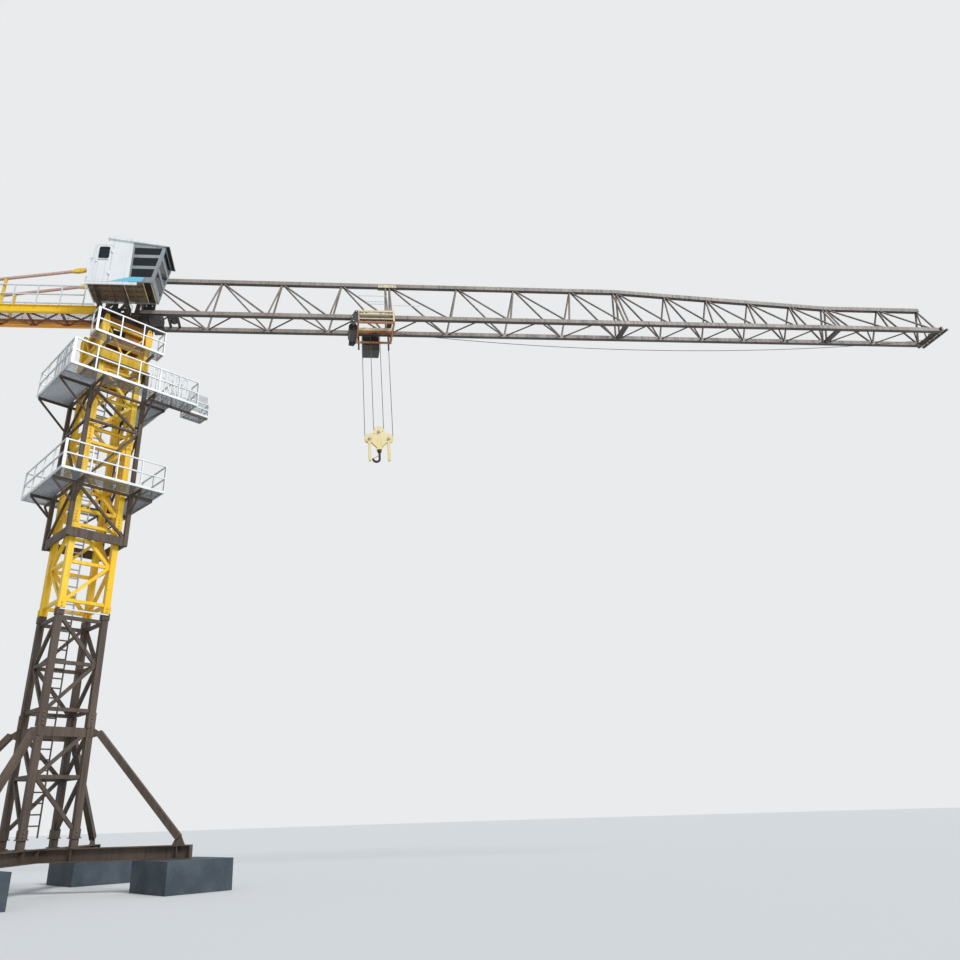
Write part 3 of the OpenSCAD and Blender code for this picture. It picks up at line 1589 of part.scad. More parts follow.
module cheek_drawing() {
  half = crosshead_w / 2;
  for (s = [-1, 1]) {
    translate([s * lobe_x, 0]) circle(r = lobe_r, $fn = 48);
    translate([s * lobe_x - strap_w / 2, -lobe_r - strap_l]) square([strap_w, strap_l + lobe_r]);
  }
  translate([0, top_lobe_rise]) circle(r = top_lobe_r, $fn = 48);
  polygon([[-lobe_x, -lobe_r * 0.6], [-half, cheek_low], [half, cheek_low], [lobe_x, -lobe_r * 0.6],
      [lobe_x, lobe_r * 0.6], [top_lobe_r * 0.9, top_lobe_rise], [-top_lobe_r * 0.9, top_lobe_rise],
      [-lobe_x, lobe_r * 0.6]]);
}

block_half = sheave_w / 2 + sheave_gap;

module hook_block() {
  depth = 2 * (block_half + cheek_t);
  color("#f0d98a")
    translate([trolley_x, 0, block_z]) {
      for (s = [-1, 1])
        translate([0, s * (block_half + cheek_t / 2), 0]) upright(cheek_t) cheek_drawing();
      for (p = [[-lobe_x, 0], [lobe_x, 0], [0, top_lobe_rise]])
        across([p[0], block_half + 1, p[1]])
          cylinder(d = sheave_pin_d, h = 2 * block_half + 2, $fn = 32);
      // Feet of the straps
      for (s = [-1, 1])
        block([s * lobe_x - strap_w / 2 + 1, -block_half - 1, -lobe_r - strap_l + 1],
           [strap_w - 2, 2 * block_half + 2, strap_w / 2]);
      // Crosshead with the pocket of the hook's nut
      difference() {
        block([-crosshead_w / 2 + 1, -crosshead_w / 2, cheek_low - crosshead_h + 1],
           [crosshead_w - 2, crosshead_w, crosshead_h]);
        translate([0, 0, cheek_low - nut_h - 2 * pin_gap]) cylinder(d = nut_d + 2, h = nut_h * 2, $fn = 48);
        translate([0, 0, cheek_low - 2 * crosshead_h])
          cylinder(d = shank_d + 2 * hinge_gap, h = 2 * crosshead_h, $fn = 32);
      }
    }
}

module hook_sheaves() {
  color(dark)
    for (p = [[-lobe_x, 0], [lobe_x, 0], [0, top_lobe_rise]])
      across([trolley_x + p[0], sheave_w / 2, block_z + p[1]])
        difference() {
          cylinder(r = sheave_r, h = sheave_w, $fn = 48);
          translate([0, 0, -1]) cylinder(d = sheave_pin_d + 2 * pin_gap, h = sheave_w + 2, $fn = 32);
        }
}

module hook() {
  under = block_z + cheek_low - crosshead_h + 1 - pin_gap;
  nut_low = block_z + cheek_low - nut_h - pin_gap;
  bowl = under - hook_l;
  color("#26221f")
    translate([trolley_x, 0, 0]) {
      translate([0, 0, nut_low]) cylinder(d = nut_d, h = nut_h - 2 * pin_gap, $fn = 48);
      translate([0, 0, under - 1]) cylinder(d = shank_d, h = nut_low - under + 2, $fn = 32);
      translate([0, 0, under - hook_d]) cylinder(d = crosshead_w * 0.8, h = hook_d, $fn = 32);
      translate([0, 0, bowl]) cylinder(d = hook_d, h = hook_l - hook_d + 1, $fn = 32);
      translate([-hook_r, 0, bowl])
        rotate([90, 0, 0]) rotate(-180) rotate_extrude(angle = 180, $fn = 48)
        translate([hook_r, 0]) circle(d = hook_d, $fn = 24);
    }
}

ballast_blocks();
base_long_beam();
base_half_beams();
base_feet();
base_struts();
lower_side_with_chords(0);  // lower_mast_near
lower_side_with_chords(2);  // lower_mast_far
lower_side_between(3);  // lower_mast_left
lower_side_between(1);  // lower_mast_right
upper_side_with_chords(0);  // upper_mast_near
upper_side_with_chords(2);  // upper_mast_far
upper_side_between(3);  // upper_mast_left
upper_side_between(1);  // upper_mast_right
mast_ladder();
frame_side_with_posts(0);  // climbing_frame_near
frame_side_with_posts(2);  // climbing_frame_far
frame_side_between(3);  // climbing_frame_left
frame_side_between(1);  // climbing_frame_right
climbing_cylinder();
lower_platform_deck();
upper_platform_deck();
platform_brackets();
platform_rails();
slewing_support();
support_box();
top_platform_deck();
top_platform_rails();
slewing_ring();
turntable();
slewing_motors();
tower_head();
cab_bracket();
cab_floor();
cab_walls();
cab_window_frame();
cab_roof();
cab_glass();
cab_door();
cab_door_glass();
jib_section(section_1);  // jib_section_1
jib_section(section_2);  // jib_section_2
jib_section(section_3);  // jib_section_3
jib_section_4();
trolley_winch();
slack_rope();
counter_jib_frame();
counter_jib_deck();
counter_jib_rails();
counter_jib_ties();
counterweights();
hoist_winch();
electric_cabinet();
trolley_frame();
trolley_wheels();
trolley_sheaves();
trolley_basket();
hoist_ropes();
hook_block();
hook_sheaves();
hook();
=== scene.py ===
# %% [markdown]
# # A tower crane at half size
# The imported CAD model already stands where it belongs, in metres, with +X along the jib and +Z up. Its shapes are
# right but bare. This lesson gives each part the finish of the real one and adds what a plain solid can't show:
# gratings, lugs with pins, bolts, rope, seals and window gear. Every new piece rides on one moving body of the crane.

# %% Load the crane
import json
import math

import bpy
from mathutils import Matrix, Vector
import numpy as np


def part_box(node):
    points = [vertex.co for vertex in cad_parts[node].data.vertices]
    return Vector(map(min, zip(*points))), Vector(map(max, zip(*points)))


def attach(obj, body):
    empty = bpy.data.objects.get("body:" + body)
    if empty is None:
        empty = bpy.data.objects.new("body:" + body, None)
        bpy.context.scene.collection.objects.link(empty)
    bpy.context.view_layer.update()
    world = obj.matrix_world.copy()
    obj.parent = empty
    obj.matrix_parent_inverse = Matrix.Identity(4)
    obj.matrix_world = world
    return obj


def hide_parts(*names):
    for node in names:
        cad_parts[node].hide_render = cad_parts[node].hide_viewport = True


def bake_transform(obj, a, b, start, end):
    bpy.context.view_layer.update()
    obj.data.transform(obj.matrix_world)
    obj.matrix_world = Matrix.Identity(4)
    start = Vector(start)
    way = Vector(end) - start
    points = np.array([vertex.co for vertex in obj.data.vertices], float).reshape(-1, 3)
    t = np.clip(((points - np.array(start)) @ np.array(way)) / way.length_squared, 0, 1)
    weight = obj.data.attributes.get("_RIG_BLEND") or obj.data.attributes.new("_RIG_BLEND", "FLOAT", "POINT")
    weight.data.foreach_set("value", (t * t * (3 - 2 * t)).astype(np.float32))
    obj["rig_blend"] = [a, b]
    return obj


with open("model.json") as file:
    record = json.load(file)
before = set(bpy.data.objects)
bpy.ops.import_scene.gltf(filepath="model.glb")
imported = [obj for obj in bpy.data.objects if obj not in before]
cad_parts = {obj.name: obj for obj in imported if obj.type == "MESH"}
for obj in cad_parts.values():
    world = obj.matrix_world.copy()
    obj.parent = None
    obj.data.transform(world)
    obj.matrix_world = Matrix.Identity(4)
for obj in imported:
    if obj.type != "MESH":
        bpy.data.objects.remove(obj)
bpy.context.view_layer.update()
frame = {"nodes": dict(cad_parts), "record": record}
nodes = frame["nodes"]

# %% [markdown]
# ## The camera
# The photograph was taken by someone who stood in front of the crane and looked up. At half size that eye is 0.82 m
# above the ground. The lens, the tilt and the small shift were worked out from points of the crane in the picture.

# %% Camera
EYE = Vector((3.842, -12.513, 0.823))
HEADING = Vector((0.0907, 0.9959, 0.0))
TILT = math.radians(27.82)
ROLL = math.radians(1.856)

forward = HEADING.normalized() * math.cos(TILT) + Vector((0, 0, math.sin(TILT)))
level_right = Vector((0.9959, -0.0907, 0.0)).normalized()
level_up = level_right.cross(forward)
right = level_right * math.cos(ROLL) - level_up * math.sin(ROLL)
up = level_right * math.sin(ROLL) + level_up * math.cos(ROLL)
eye_axes = Matrix((right, up, -forward)).transposed().to_4x4()

lens = bpy.data.cameras.new("Eye")
lens.sensor_width = 36
lens.lens = 27.75
lens.shift_x = 0.1148
lens.shift_y = -0.0547
lens.clip_end = 400
camera = bpy.data.objects.new("Eye", lens)
camera.matrix_world = Matrix.Translation(EYE) @ eye_axes
bpy.context.scene.collection.objects.link(camera)
bpy.context.scene.camera = camera
bpy.context.scene.view_settings.view_transform = "Standard"
print("the camera looks up by", round(math.degrees(TILT), 1), "degrees")

# %% [markdown]
# ## One way to work on a mesh
# An operator acts on everything that is selected, so each piece starts with an empty selection. A finished piece has
# its place in its mesh, so its patterns stay put when the crane turns. The mast stands at an angle to the jib, so
# pieces on it are made square to the mast and turned at the end.

# %% Helpers for pieces
MAST_TURN = Matrix.Rotation(math.radians(37.5), 4, "Z")


def select_only(*things):
    bpy.ops.object.select_all(action="DESELECT")
    for thing in things:
        thing.select_set(True)
    bpy.context.view_layer.objects.active = things[0] if things else None


def box_piece(low, high, bevel=0.0):
    """A block between two corners, with its edges broken where a bevel is asked for."""
    select_only()
    low, high = Vector(low), Vector(high)
    bpy.ops.mesh.primitive_cube_add(size=1, location=(low + high) / 2, scale=high - low)
    piece = bpy.context.object
    bpy.ops.object.transform_apply(location=True, rotation=True, scale=True)
    if bevel:
        bpy.ops.object.mode_set(mode="EDIT")
        bpy.ops.mesh.select_all(action="SELECT")
        bpy.ops.mesh.bevel(offset=bevel, segments=2)
        bpy.ops.object.mode_set(mode="OBJECT")
    return piece


def round_piece(start, end, radius, sides=16):
    """A round bar between two points."""
    select_only()
    start, end = Vector(start), Vector(end)
    along = end - start
    bpy.ops.mesh.primitive_cylinder_add(
        vertices=sides, radius=radius, depth=along.length, location=(start + end) / 2,
        rotation=along.to_track_quat("Z", "Y").to_euler())
    bpy.ops.object.transform_apply(location=True, rotation=True, scale=True)
    return bpy.context.object


def tube_along(points, radius, closed=False, fine=2):
    """A bent bar or a rope: a curve with a round section, made a mesh."""
    line = bpy.data.curves.new("Line", "CURVE")
    line.dimensions = "3D"
    line.bevel_depth = radius
    line.bevel_resolution = fine
    line.use_fill_caps = not closed
    spline = line.splines.new("POLY")
    spline.points.add(len(points) - 1)
    for target, point in zip(spline.points, points):
        target.co = (*point, 1)
    spline.use_cyclic_u = closed
    bar = bpy.data.objects.new("Bar", line)
    bpy.context.scene.collection.objects.link(bar)
    select_only(bar)
    bpy.ops.object.convert(target="MESH")
    return bpy.context.object


def rounded_bend(corners, radius, closed=False, steps=5):
    """The line through some corners, with each corner rounded as a tube bender leaves it."""
    corners = [Vector(c) for c in corners]
    line = []
    for i, corner in enumerate(corners):
        if not closed and i in (0, len(corners) - 1):
            line.append(corner)
            continue
        before = (corners[i - 1] - corner).normalized() * radius
        after = (corners[(i + 1) % len(corners)] - corner).normalized() * radius
        for k in range(steps + 1):
            t = k / steps
            line.append(corner + before * (1 - t) ** 2 + after * t ** 2)
    return line


def plate_piece(outline, along, bevel=0.0):
    """A flat plate: a filled ring of points moved to an outline, then extruded by its thickness."""
    select_only()
    bpy.ops.mesh.primitive_circle_add(vertices=len(outline), radius=1, fill_type="NGON")
    piece = bpy.context.object
    for vertex, point in zip(piece.data.vertices, outline):
        vertex.co = point
    bpy.ops.object.mode_set(mode="EDIT")
    bpy.ops.mesh.select_all(action="SELECT")
    bpy.ops.mesh.extrude_region_move(TRANSFORM_OT_translate={"value": along})
    bpy.ops.mesh.select_all(action="SELECT")
    bpy.ops.mesh.normals_make_consistent(inside=False)
    if bevel:
        bpy.ops.mesh.bevel(offset=bevel, segments=2)
    bpy.ops.object.mode_set(mode="OBJECT")
    return piece


def joined(pieces):
    select_only(*pieces)
    if len(pieces) > 1:
        bpy.ops.object.join()
    return pieces[0]


def repeated(piece, step, count):
    """The same shape again and again in a row, with the Array modifier."""
    array = piece.modifiers.new("Row", "ARRAY")
    array.use_relative_offset = False
    array.use_constant_offset = True
    array.constant_offset_displace = step
    array.count = count
    select_only(piece)
    bpy.ops.object.modifier_apply(modifier=array.name)
    return piece


def cut_hole(piece, start, end, radius):
    """A round hole through a piece, cut with a tool that goes past both faces."""
    tool = round_piece(start, end, radius, 24)
    cut = piece.modifiers.new("Hole", "BOOLEAN")
    cut.operation = "DIFFERENCE"
    cut.solver = "EXACT"
    cut.object = tool
    select_only(piece)
    bpy.ops.object.modifier_apply(modifier=cut.name)
    bpy.data.objects.remove(tool)
    return piece


def press_in(piece, chosen, thickness, depth, each=False):
    """Insets the faces that a rule chooses and presses them in."""
    select_only(piece)
    bpy.ops.object.mode_set(mode="EDIT")
    bpy.ops.mesh.select_mode(type="FACE")
    bpy.ops.object.mode_set(mode="OBJECT")
    for face in piece.data.polygons:
        face.select = chosen(face)
    bpy.ops.object.mode_set(mode="EDIT")
    bpy.ops.mesh.inset(thickness=thickness, depth=depth, use_individual=each)
    bpy.ops.object.mode_set(mode="OBJECT")
    return piece


def finish_piece(piece, name, body, material, turn=None):
    """Names a piece, gives it its finish and puts it on a body of the crane."""
    if turn is not None:
        piece.data.transform(turn)
    piece.name = name
    piece.data.materials.clear()
    piece.data.materials.append(material)
    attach(piece, body)
    return piece


# %% [markdown]
# ## Colours and nodes
# A colour is written as it looks on a screen, so one function turns it into the linear light that Blender works in.
# One more adds a node with its settings and links, so each finish below reads as a short recipe.

# %% Helpers for finishes
def linear(hex_colour):
    parts = [int(hex_colour[i:i + 2], 16) / 255 for i in (1, 3, 5)]
    return tuple(p / 12.92 if p <= 0.04045 else ((p + 0.055) / 1.055) ** 2.4 for p in parts) + (1.0,)


def add_node(tree, kind, sockets=(), **settings):
    node = tree.nodes.new(kind)
    for key, value in settings.items():
        setattr(node, key, value)
    for key, value in dict(sockets).items():
        if isinstance(value, bpy.types.NodeSocket):
            tree.links.new(value, node.inputs[key])
        else:
            node.inputs[key].default_value = value
    return node


def new_finish(name):
    material = bpy.data.materials.new(name)
    material.use_nodes = True
    tree = material.node_tree
    shader = tree.nodes["Principled BSDF"]
    place = add_node(tree, "ShaderNodeTexCoord").outputs["Object"]
    return material, tree, shader, place


# %% [markdown]
# ## Paint on rolled steel
# Most of the crane is hot-rolled steel with a brushed or sprayed alkyd enamel. Outdoors such a coat fades in broad
# patches, carries dust in runs down its upright faces, and chips to brown primer where chains and spanners hit it.
# Four noises at the real sizes of those marks give that: patches of a metre, runs a few centimetres wide, chips of
# one or two centimetres, and the fine orange peel of the film. Where one part carries two coats, a zone says which
# places get the second one, as masking tape would: the ladder is brown up to the joint of brown and yellow sections,
# and the bolts take the colour of their section. Two zones paint light instead: the jib's faces that look to -Y get a
# paler brown, a painted sunlit highlight, and the trolley's cream frame below 9.7 m gets a brown that is painted shade.

# %% Enamel recipe
def enamel(name, coat, faded, dust, primer, roughness, chips=0.66, dust_share=0.55, zones=()):
    material, tree, shader, place = new_finish(name)
    fresh, old = linear(coat), linear(faded)
    for second_coat, second_faded, where in zones:
        inside = where(tree, add_node(tree, "ShaderNodeSeparateXYZ", {0: place}).outputs)
        fresh, old = (add_node(tree, "ShaderNodeMix", {0: inside, 6: first, 7: linear(second)},
                               data_type="RGBA").outputs[2]
                      for first, second in ((fresh, second_coat), (old, second_faded)))
    patches = add_node(tree, "ShaderNodeTexNoise", {"Vector": place, "Scale": 1.1, "Detail": 5.0})
    patch_mask = add_node(tree, "ShaderNodeMapRange", {
        "Value": patches.outputs[0], "From Min": 0.38, "From Max": 0.66})
    aged = add_node(tree, "ShaderNodeMix", {
        0: patch_mask.outputs[0], 6: fresh, 7: old}, data_type="RGBA")
    stretched = add_node(tree, "ShaderNodeMapping", {"Vector": place, "Scale": (22, 22, 1.6)})
    runs = add_node(tree, "ShaderNodeTexNoise", {"Vector": stretched.outputs[0], "Scale": 1.0, "Detail": 6.0})
    run_mask = add_node(tree, "ShaderNodeMapRange", {
        "Value": runs.outputs[0], "From Min": 0.5, "From Max": 0.78, "To Max": dust_share})
    dusty = add_node(tree, "ShaderNodeMix", {
        0: run_mask.outputs[0], 6: aged.outputs[2], 7: linear(dust)}, data_type="RGBA")
    scars = add_node(tree, "ShaderNodeTexNoise", {"Vector": place, "Scale": 24.0, "Detail": 7.0, "Roughness": 0.62})
    chip_mask = add_node(tree, "ShaderNodeMapRange", {
        "Value": scars.outputs[0], "From Min": chips, "From Max": chips + 0.02})
    chipped = add_node(tree, "ShaderNodeMix", {
        0: chip_mask.outputs[0], 6: dusty.outputs[2], 7: linear(primer)}, data_type="RGBA")
    tree.links.new(chipped.outputs[2], shader.inputs["Base Color"])
    dull = add_node(tree, "ShaderNodeMapRange", {
        "Value": runs.outputs[0], "From Min": 0.4, "From Max": 0.75,
        "To Min": roughness, "To Max": min(0.9, roughness + 0.25)})
    tree.links.new(dull.outputs[0], shader.inputs["Roughness"])
    peel = add_node(tree, "ShaderNodeTexNoise", {"Vector": place, "Scale": 160.0, "Detail": 2.0})
    film = add_node(tree, "ShaderNodeBump", {"Height": peel.outputs[0], "Strength": 0.12, "Distance": 0.002})
    edge = add_node(tree, "ShaderNodeBump", {
        "Height": chip_mask.outputs[0], "Normal": film.outputs[0], "Strength": 0.4, "Distance": 0.0015},
        invert=True)
    tree.links.new(edge.outputs[0], shader.inputs["Normal"])
    shader.inputs["IOR"].default_value = 1.5
    return material


# Below 9.7 m the trolley's cream frame gets a brown coat, which is painted shade on its lower parts.
BROWN_TOP, TROLLEY_PAINTED_SHADE_TOP = 3.9, 9.7


def below_height(height):
    """A rule for a coat that ends at a height."""
    return lambda tree, axes: add_node(
        tree, "ShaderNodeMath", {0: axes[2], 1: height}, operation="LESS_THAN").outputs[0]


yellow_enamel = enamel("Yellow_alkyd_enamel_on_steel", "#f8c40a", "#fbd43a", "#c08c1e", "#7a4a26", 0.34)
brown_enamel = enamel("Brown_alkyd_paint_weathered", "#4c4037", "#5f5145", "#332b25", "#6b4a35", 0.58, 0.63)


def sunlit_faces_painted(tree, axes):
    """The jib's faces that look to -Y, towards the lamp, where a paler brown is a painted sunlit highlight; read from
    the part's own direction.
    """
    facing = add_node(tree, "ShaderNodeTexCoord").outputs["Normal"]
    sideways = add_node(tree, "ShaderNodeSeparateXYZ", {0: facing}).outputs[1]
    return add_node(tree, "ShaderNodeMapRange", {"Value": sideways, "From Min": -0.5, "From Max": -0.8}).outputs[0]


# The pale second coat on the jib's faces that look to -Y is a painted sunlit highlight.
jib_enamel = enamel("Dark_brown_jib_paint_weathered", "#3f3736", "#544a46", "#2f2a29", "#6d4a38", 0.5, 0.64,
                    zones=[("#8f857d", "#a89e95", sunlit_faces_painted)])
# The brown second coat below 9.7 m is painted shade on the trolley frame's lower parts.
cream_enamel = enamel(
    "Cream_enamel_on_steel", "#e6d9b4", "#efe6cf", "#b08a5c", "#7a4a2e", 0.42,
    zones=[("#a4683c", "#c29462", below_height(TROLLEY_PAINTED_SHADE_TOP))])
orange_enamel = enamel("Orange_brown_paint_on_steel", "#a5691a", "#b97c2c", "#6d4312", "#5f4432", 0.5)
block_enamel = enamel("Pale_yellow_block_enamel", "#f0da92", "#f7e9bc", "#c9a35c", "#7a4f30", 0.36)
grey_enamel = enamel("Grey_powder_coat", "#8b9294", "#9aa1a3", "#6a6f70", "#5b5f60", 0.45, 0.72)
ladder_enamel = enamel(
    "Dipped_zinc_and_brown_paint_on_ladder", "#c6cbce", "#aab0b4", "#7f868b", "#8d8f90", 0.45, 0.72,
    zones=[("#43382f", "#52463b", below_height(BROWN_TOP))])
bolt_enamel = enamel(
    "Painted_joint_bolts", "#e2b312", "#edc63c", "#a87f24", "#6b4a2c", 0.4,
    zones=[("#5a4d42", "#6b5c4e", below_height(BROWN_TOP))])
deck_enamel = enamel("Dark_red_brown_paint_on_decking", "#5b3f3f", "#6d4e4a", "#3f2e2c", "#7b543a", 0.6)
machine_enamel = enamel("Black_machine_enamel", "#34302f", "#454140", "#5b554f", "#6e5340", 0.42, 0.66)

# %% [markdown]
# ## Two coats on one part
# The ties are faded red oxide, but their end plates and the posts under them are yellow. The counter-jib's girders
# are yellow too, the far one coloured orange as painted shade on its inner face, and the bracing between them is a
# dark red brown. The two coats meet at a straight edge, so one mask from the place on the part is enough.

# %% Ties and counter-jib in two coats
def compare(tree, value, middle, reach):
    """1 where a value lies within reach of the middle."""
    return add_node(tree, "ShaderNodeMath", {0: value, 1: middle, 2: reach}, operation="COMPARE").outputs[0]


def tie_ends(tree, axes):
    """The joint plate of a tie, its outer end, and the post below it."""
    joint = compare(tree, axes[0], -0.875, 0.156)
    outer = add_node(tree, "ShaderNodeMath", {0: axes[0], 1: -4.93}, operation="LESS_THAN").outputs[0]
    below = add_node(tree, "ShaderNodeMath", {0: axes[2], 1: 10.602}, operation="LESS_THAN").outputs[0]
    post = add_node(tree, "ShaderNodeMath", {0: compare(tree, axes[0], -2.277, 0.03), 1: below}, operation="MULTIPLY")
    ends = add_node(tree, "ShaderNodeMath", {0: joint, 1: outer}, operation="MAXIMUM")
    return add_node(tree, "ShaderNodeMath", {0: ends.outputs[0], 1: post.outputs[0]}, operation="MAXIMUM").outputs[0]


tie_enamel = enamel("Red_oxide_tie_paint_and_yellow", "#bd9686", "#cfaea0", "#8e6d60", "#6b4c40", 0.52,
                    zones=[("#eec22a", "#f2d264", tie_ends)])
girder_enamel = enamel(
    "Yellow_enamel_on_girders", "#f7c200", "#fbd02a", "#c98f1c", "#7a4a26", 0.34, dust_share=0.3,
    # The orange on the far girder is painted shade on its yellow paint.
    zones=[("#ea9a22", "#f0ab3e", lambda tree, axes: compare(tree, axes[1], 0.285, 0.067)),
           ("#5a2d20", "#6b3a2a", lambda tree, axes: compare(tree, axes[1], 0.0, 0.216))])

# %% [markdown]
# ## Cab enamel
# The cab is folded sheet with a sprayed white two-pack enamel, which is smoother than site paint. Rain leaves faint
# grey runs from the seams, and the sheet shows slight waves between its ribs. A thin clear coat gives its gloss.

# %% White cab enamel and blue accent
def cab_enamel(name, coat, shade):
    material, tree, shader, place = new_finish(name)
    stretched = add_node(tree, "ShaderNodeMapping", {"Vector": place, "Scale": (16, 16, 0.9)})
    runs = add_node(tree, "ShaderNodeTexNoise", {"Vector": stretched.outputs[0], "Scale": 1.0, "Detail": 6.0})
    run_mask = add_node(tree, "ShaderNodeMapRange", {
        "Value": runs.outputs[0], "From Min": 0.46, "From Max": 0.8, "To Max": 0.6})
    colour = add_node(tree, "ShaderNodeMix", {
        0: run_mask.outputs[0], 6: linear(coat), 7: linear(shade)}, data_type="RGBA")
    tree.links.new(colour.outputs[2], shader.inputs["Base Color"])
    waves = add_node(tree, "ShaderNodeTexNoise", {"Vector": place, "Scale": 7.0, "Detail": 1.0})
    sheet = add_node(tree, "ShaderNodeBump", {"Height": waves.outputs[0], "Strength": 0.25, "Distance": 0.006})
    tree.links.new(sheet.outputs[0], shader.inputs["Normal"])
    gloss = add_node(tree, "ShaderNodeMapRange", {"Value": runs.outputs[0], "To Min": 0.22, "To Max": 0.5})
    tree.links.new(gloss.outputs[0], shader.inputs["Roughness"])
    shader.inputs["IOR"].default_value = 1.5
    shader.inputs["Coat Weight"].default_value = 0.3
    shader.inputs["Coat Roughness"].default_value = 0.12
    return material


white_enamel = cab_enamel("White_two_pack_cab_enamel", "#eef1f2", "#c3c7c8")
sky_enamel = cab_enamel("Light_blue_two_pack_enamel", "#6fcbe4", "#8fb9c6")
floor_enamel = cab_enamel("Light_brown_floor_sheet", "#7d6c58", "#54493c")

# %% [markdown]
# ## Hot-dip galvanised steel
# Handrails and gratings are dipped in molten zinc. The zinc freezes in grains of about a centimetre, the spangle,
# each with its own slight shade, and weathers from bright to a soft matt grey. A Voronoi texture at that grain size
# gives each grain a shade and a roughness of its own.

# %% Galvanised steel
def zinc(name, bright, dull, grains, metal):
    material, tree, shader, place = new_finish(name)
    grain = add_node(tree, "ShaderNodeTexVoronoi", {"Vector": place, "Scale": grains})
    grey = add_node(tree, "ShaderNodeSeparateColor", {"Color": grain.outputs["Color"]})
    weather = add_node(tree, "ShaderNodeTexNoise", {"Vector": place, "Scale": 2.4, "Detail": 5.0})
    share = add_node(tree, "ShaderNodeMath", {0: grey.outputs[0], 1: weather.outputs[0]}, operation="MULTIPLY")
    colour = add_node(tree, "ShaderNodeMix", {
        0: share.outputs[0], 6: linear(bright), 7: linear(dull)}, data_type="RGBA")
    tree.links.new(colour.outputs[2], shader.inputs["Base Color"])
    rough = add_node(tree, "ShaderNodeMapRange", {"Value": grey.outputs[1], "To Min": 0.38, "To Max": 0.6})
    tree.links.new(rough.outputs[0], shader.inputs["Roughness"])
    skin = add_node(tree, "ShaderNodeBump", {"Height": grey.outputs[2], "Strength": 0.08, "Distance": 0.001})
    tree.links.new(skin.outputs[0], shader.inputs["Normal"])
    shader.inputs["Metallic"].default_value = metal
    return material


galvanised = zinc("Hot_dip_galvanised_steel", "#e4e8ea", "#a9b0b5", 90.0, 0.35)
# The grating zinc is weathered grey and is also darkened as painted shade, because the decks are seen from below.
grating_zinc_shade_darkened = zinc("Galvanised_grating_weathered_and_shade_darkened", "#868c92", "#50565d", 90.0, 0.45)
bolt_zinc = zinc("Zinc_plated_bolts", "#c3c0b4", "#8a867a", 160.0, 0.8)

# %% [markdown]
# ## Concrete
# The ballast is cast concrete with dark slate-blue masonry paint, which shows air holes and pale scuffs. Broad noise
# gives the scuffs, and small Voronoi cells give the holes, about four centimetres apart at this scale; their dark
# colour is painted shade in the pits. The counterweights are the same concrete without paint.

# %% Concrete
def concrete(name, coat, worn, holes):
    material, tree, shader, place = new_finish(name)
    clouds = add_node(tree, "ShaderNodeTexNoise", {"Vector": place, "Scale": 2.2, "Detail": 8.0, "Roughness": 0.6})
    cloud_mask = add_node(tree, "ShaderNodeMapRange", {
        "Value": clouds.outputs[0], "From Min": 0.42, "From Max": 0.8})
    base = add_node(tree, "ShaderNodeMix", {
        0: cloud_mask.outputs[0], 6: linear(coat), 7: linear(worn)}, data_type="RGBA")
    pores = add_node(tree, "ShaderNodeTexVoronoi", {"Vector": place, "Scale": holes})
    pore_mask = add_node(tree, "ShaderNodeMapRange", {
        "Value": pores.outputs["Distance"], "From Min": 0.05, "From Max": 0.16, "To Min": 1.0, "To Max": 0.0})
    grit = add_node(tree, "ShaderNodeTexNoise", {"Vector": place, "Scale": 60.0, "Detail": 4.0})
    # The near-black in each air hole is painted shade inside the pit.
    dark = add_node(tree, "ShaderNodeMix", {
        0: pore_mask.outputs[0], 6: base.outputs[2], 7: linear("#23282c")}, data_type="RGBA")
    tree.links.new(dark.outputs[2], shader.inputs["Base Color"])
    skin = add_node(tree, "ShaderNodeBump", {"Height": grit.outputs[0], "Strength": 0.35, "Distance": 0.004})
    pits = add_node(tree, "ShaderNodeBump", {
        "Height": pore_mask.outputs[0], "Normal": skin.outputs[0], "Strength": 0.6, "Distance": 0.004}, invert=True)
    tree.links.new(pits.outputs[0], shader.inputs["Normal"])
    rough = add_node(tree, "ShaderNodeMapRange", {"Value": grit.outputs[0], "To Min": 0.6, "To Max": 0.9})
    tree.links.new(rough.outputs[0], shader.inputs["Roughness"])
    return material


slate_concrete = concrete("Slate_masonry_paint_on_concrete", "#39434b", "#56616a", 26.0)
bare_concrete = concrete("Cast_concrete_bare", "#9b9a94", "#b3b1aa", 30.0)

# %% [markdown]
# ## Glass
# The cab's panes are tinted safety glass, almost black by day, because the cab behind them is dark. A clear glass
# would show an empty cab, so the tint and the dark of the cab behind go into the base colour, the latter as painted
# shade, with a smeared film that breaks the reflection.

# %% Glass
glass_material, tree, shader, place = new_finish("Tinted_glass_and_painted_cab_shade")
smear = add_node(tree, "ShaderNodeTexNoise", {"Vector": place, "Scale": 5.0, "Detail": 5.0})
# The dark base colour is the glass's tint plus painted shade for the unlit cab behind it.
tint_and_cab_shade = add_node(tree, "ShaderNodeMix", {
    0: smear.outputs[0], 6: linear("#0d1418"), 7: linear("#1b262d")}, data_type="RGBA")
tree.links.new(tint_and_cab_shade.outputs[2], shader.inputs["Base Color"])
film = add_node(tree, "ShaderNodeMapRange", {"Value": smear.outputs[0], "To Min": 0.06, "To Max": 0.18})
tree.links.new(film.outputs[0], shader.inputs["Roughness"])
shader.inputs["IOR"].default_value = 1.52
shader.inputs["Specular IOR Level"].default_value = 0.25

# %% [markdown]
# ## Wire rope
# Rope is drawn steel wire laid in strands that spiral round it. Slanting bands stand for the strands. Real ones are a
# few millimetres wide, too fine to show, so they are drawn coarser, and the grooves between them hold dark grease.

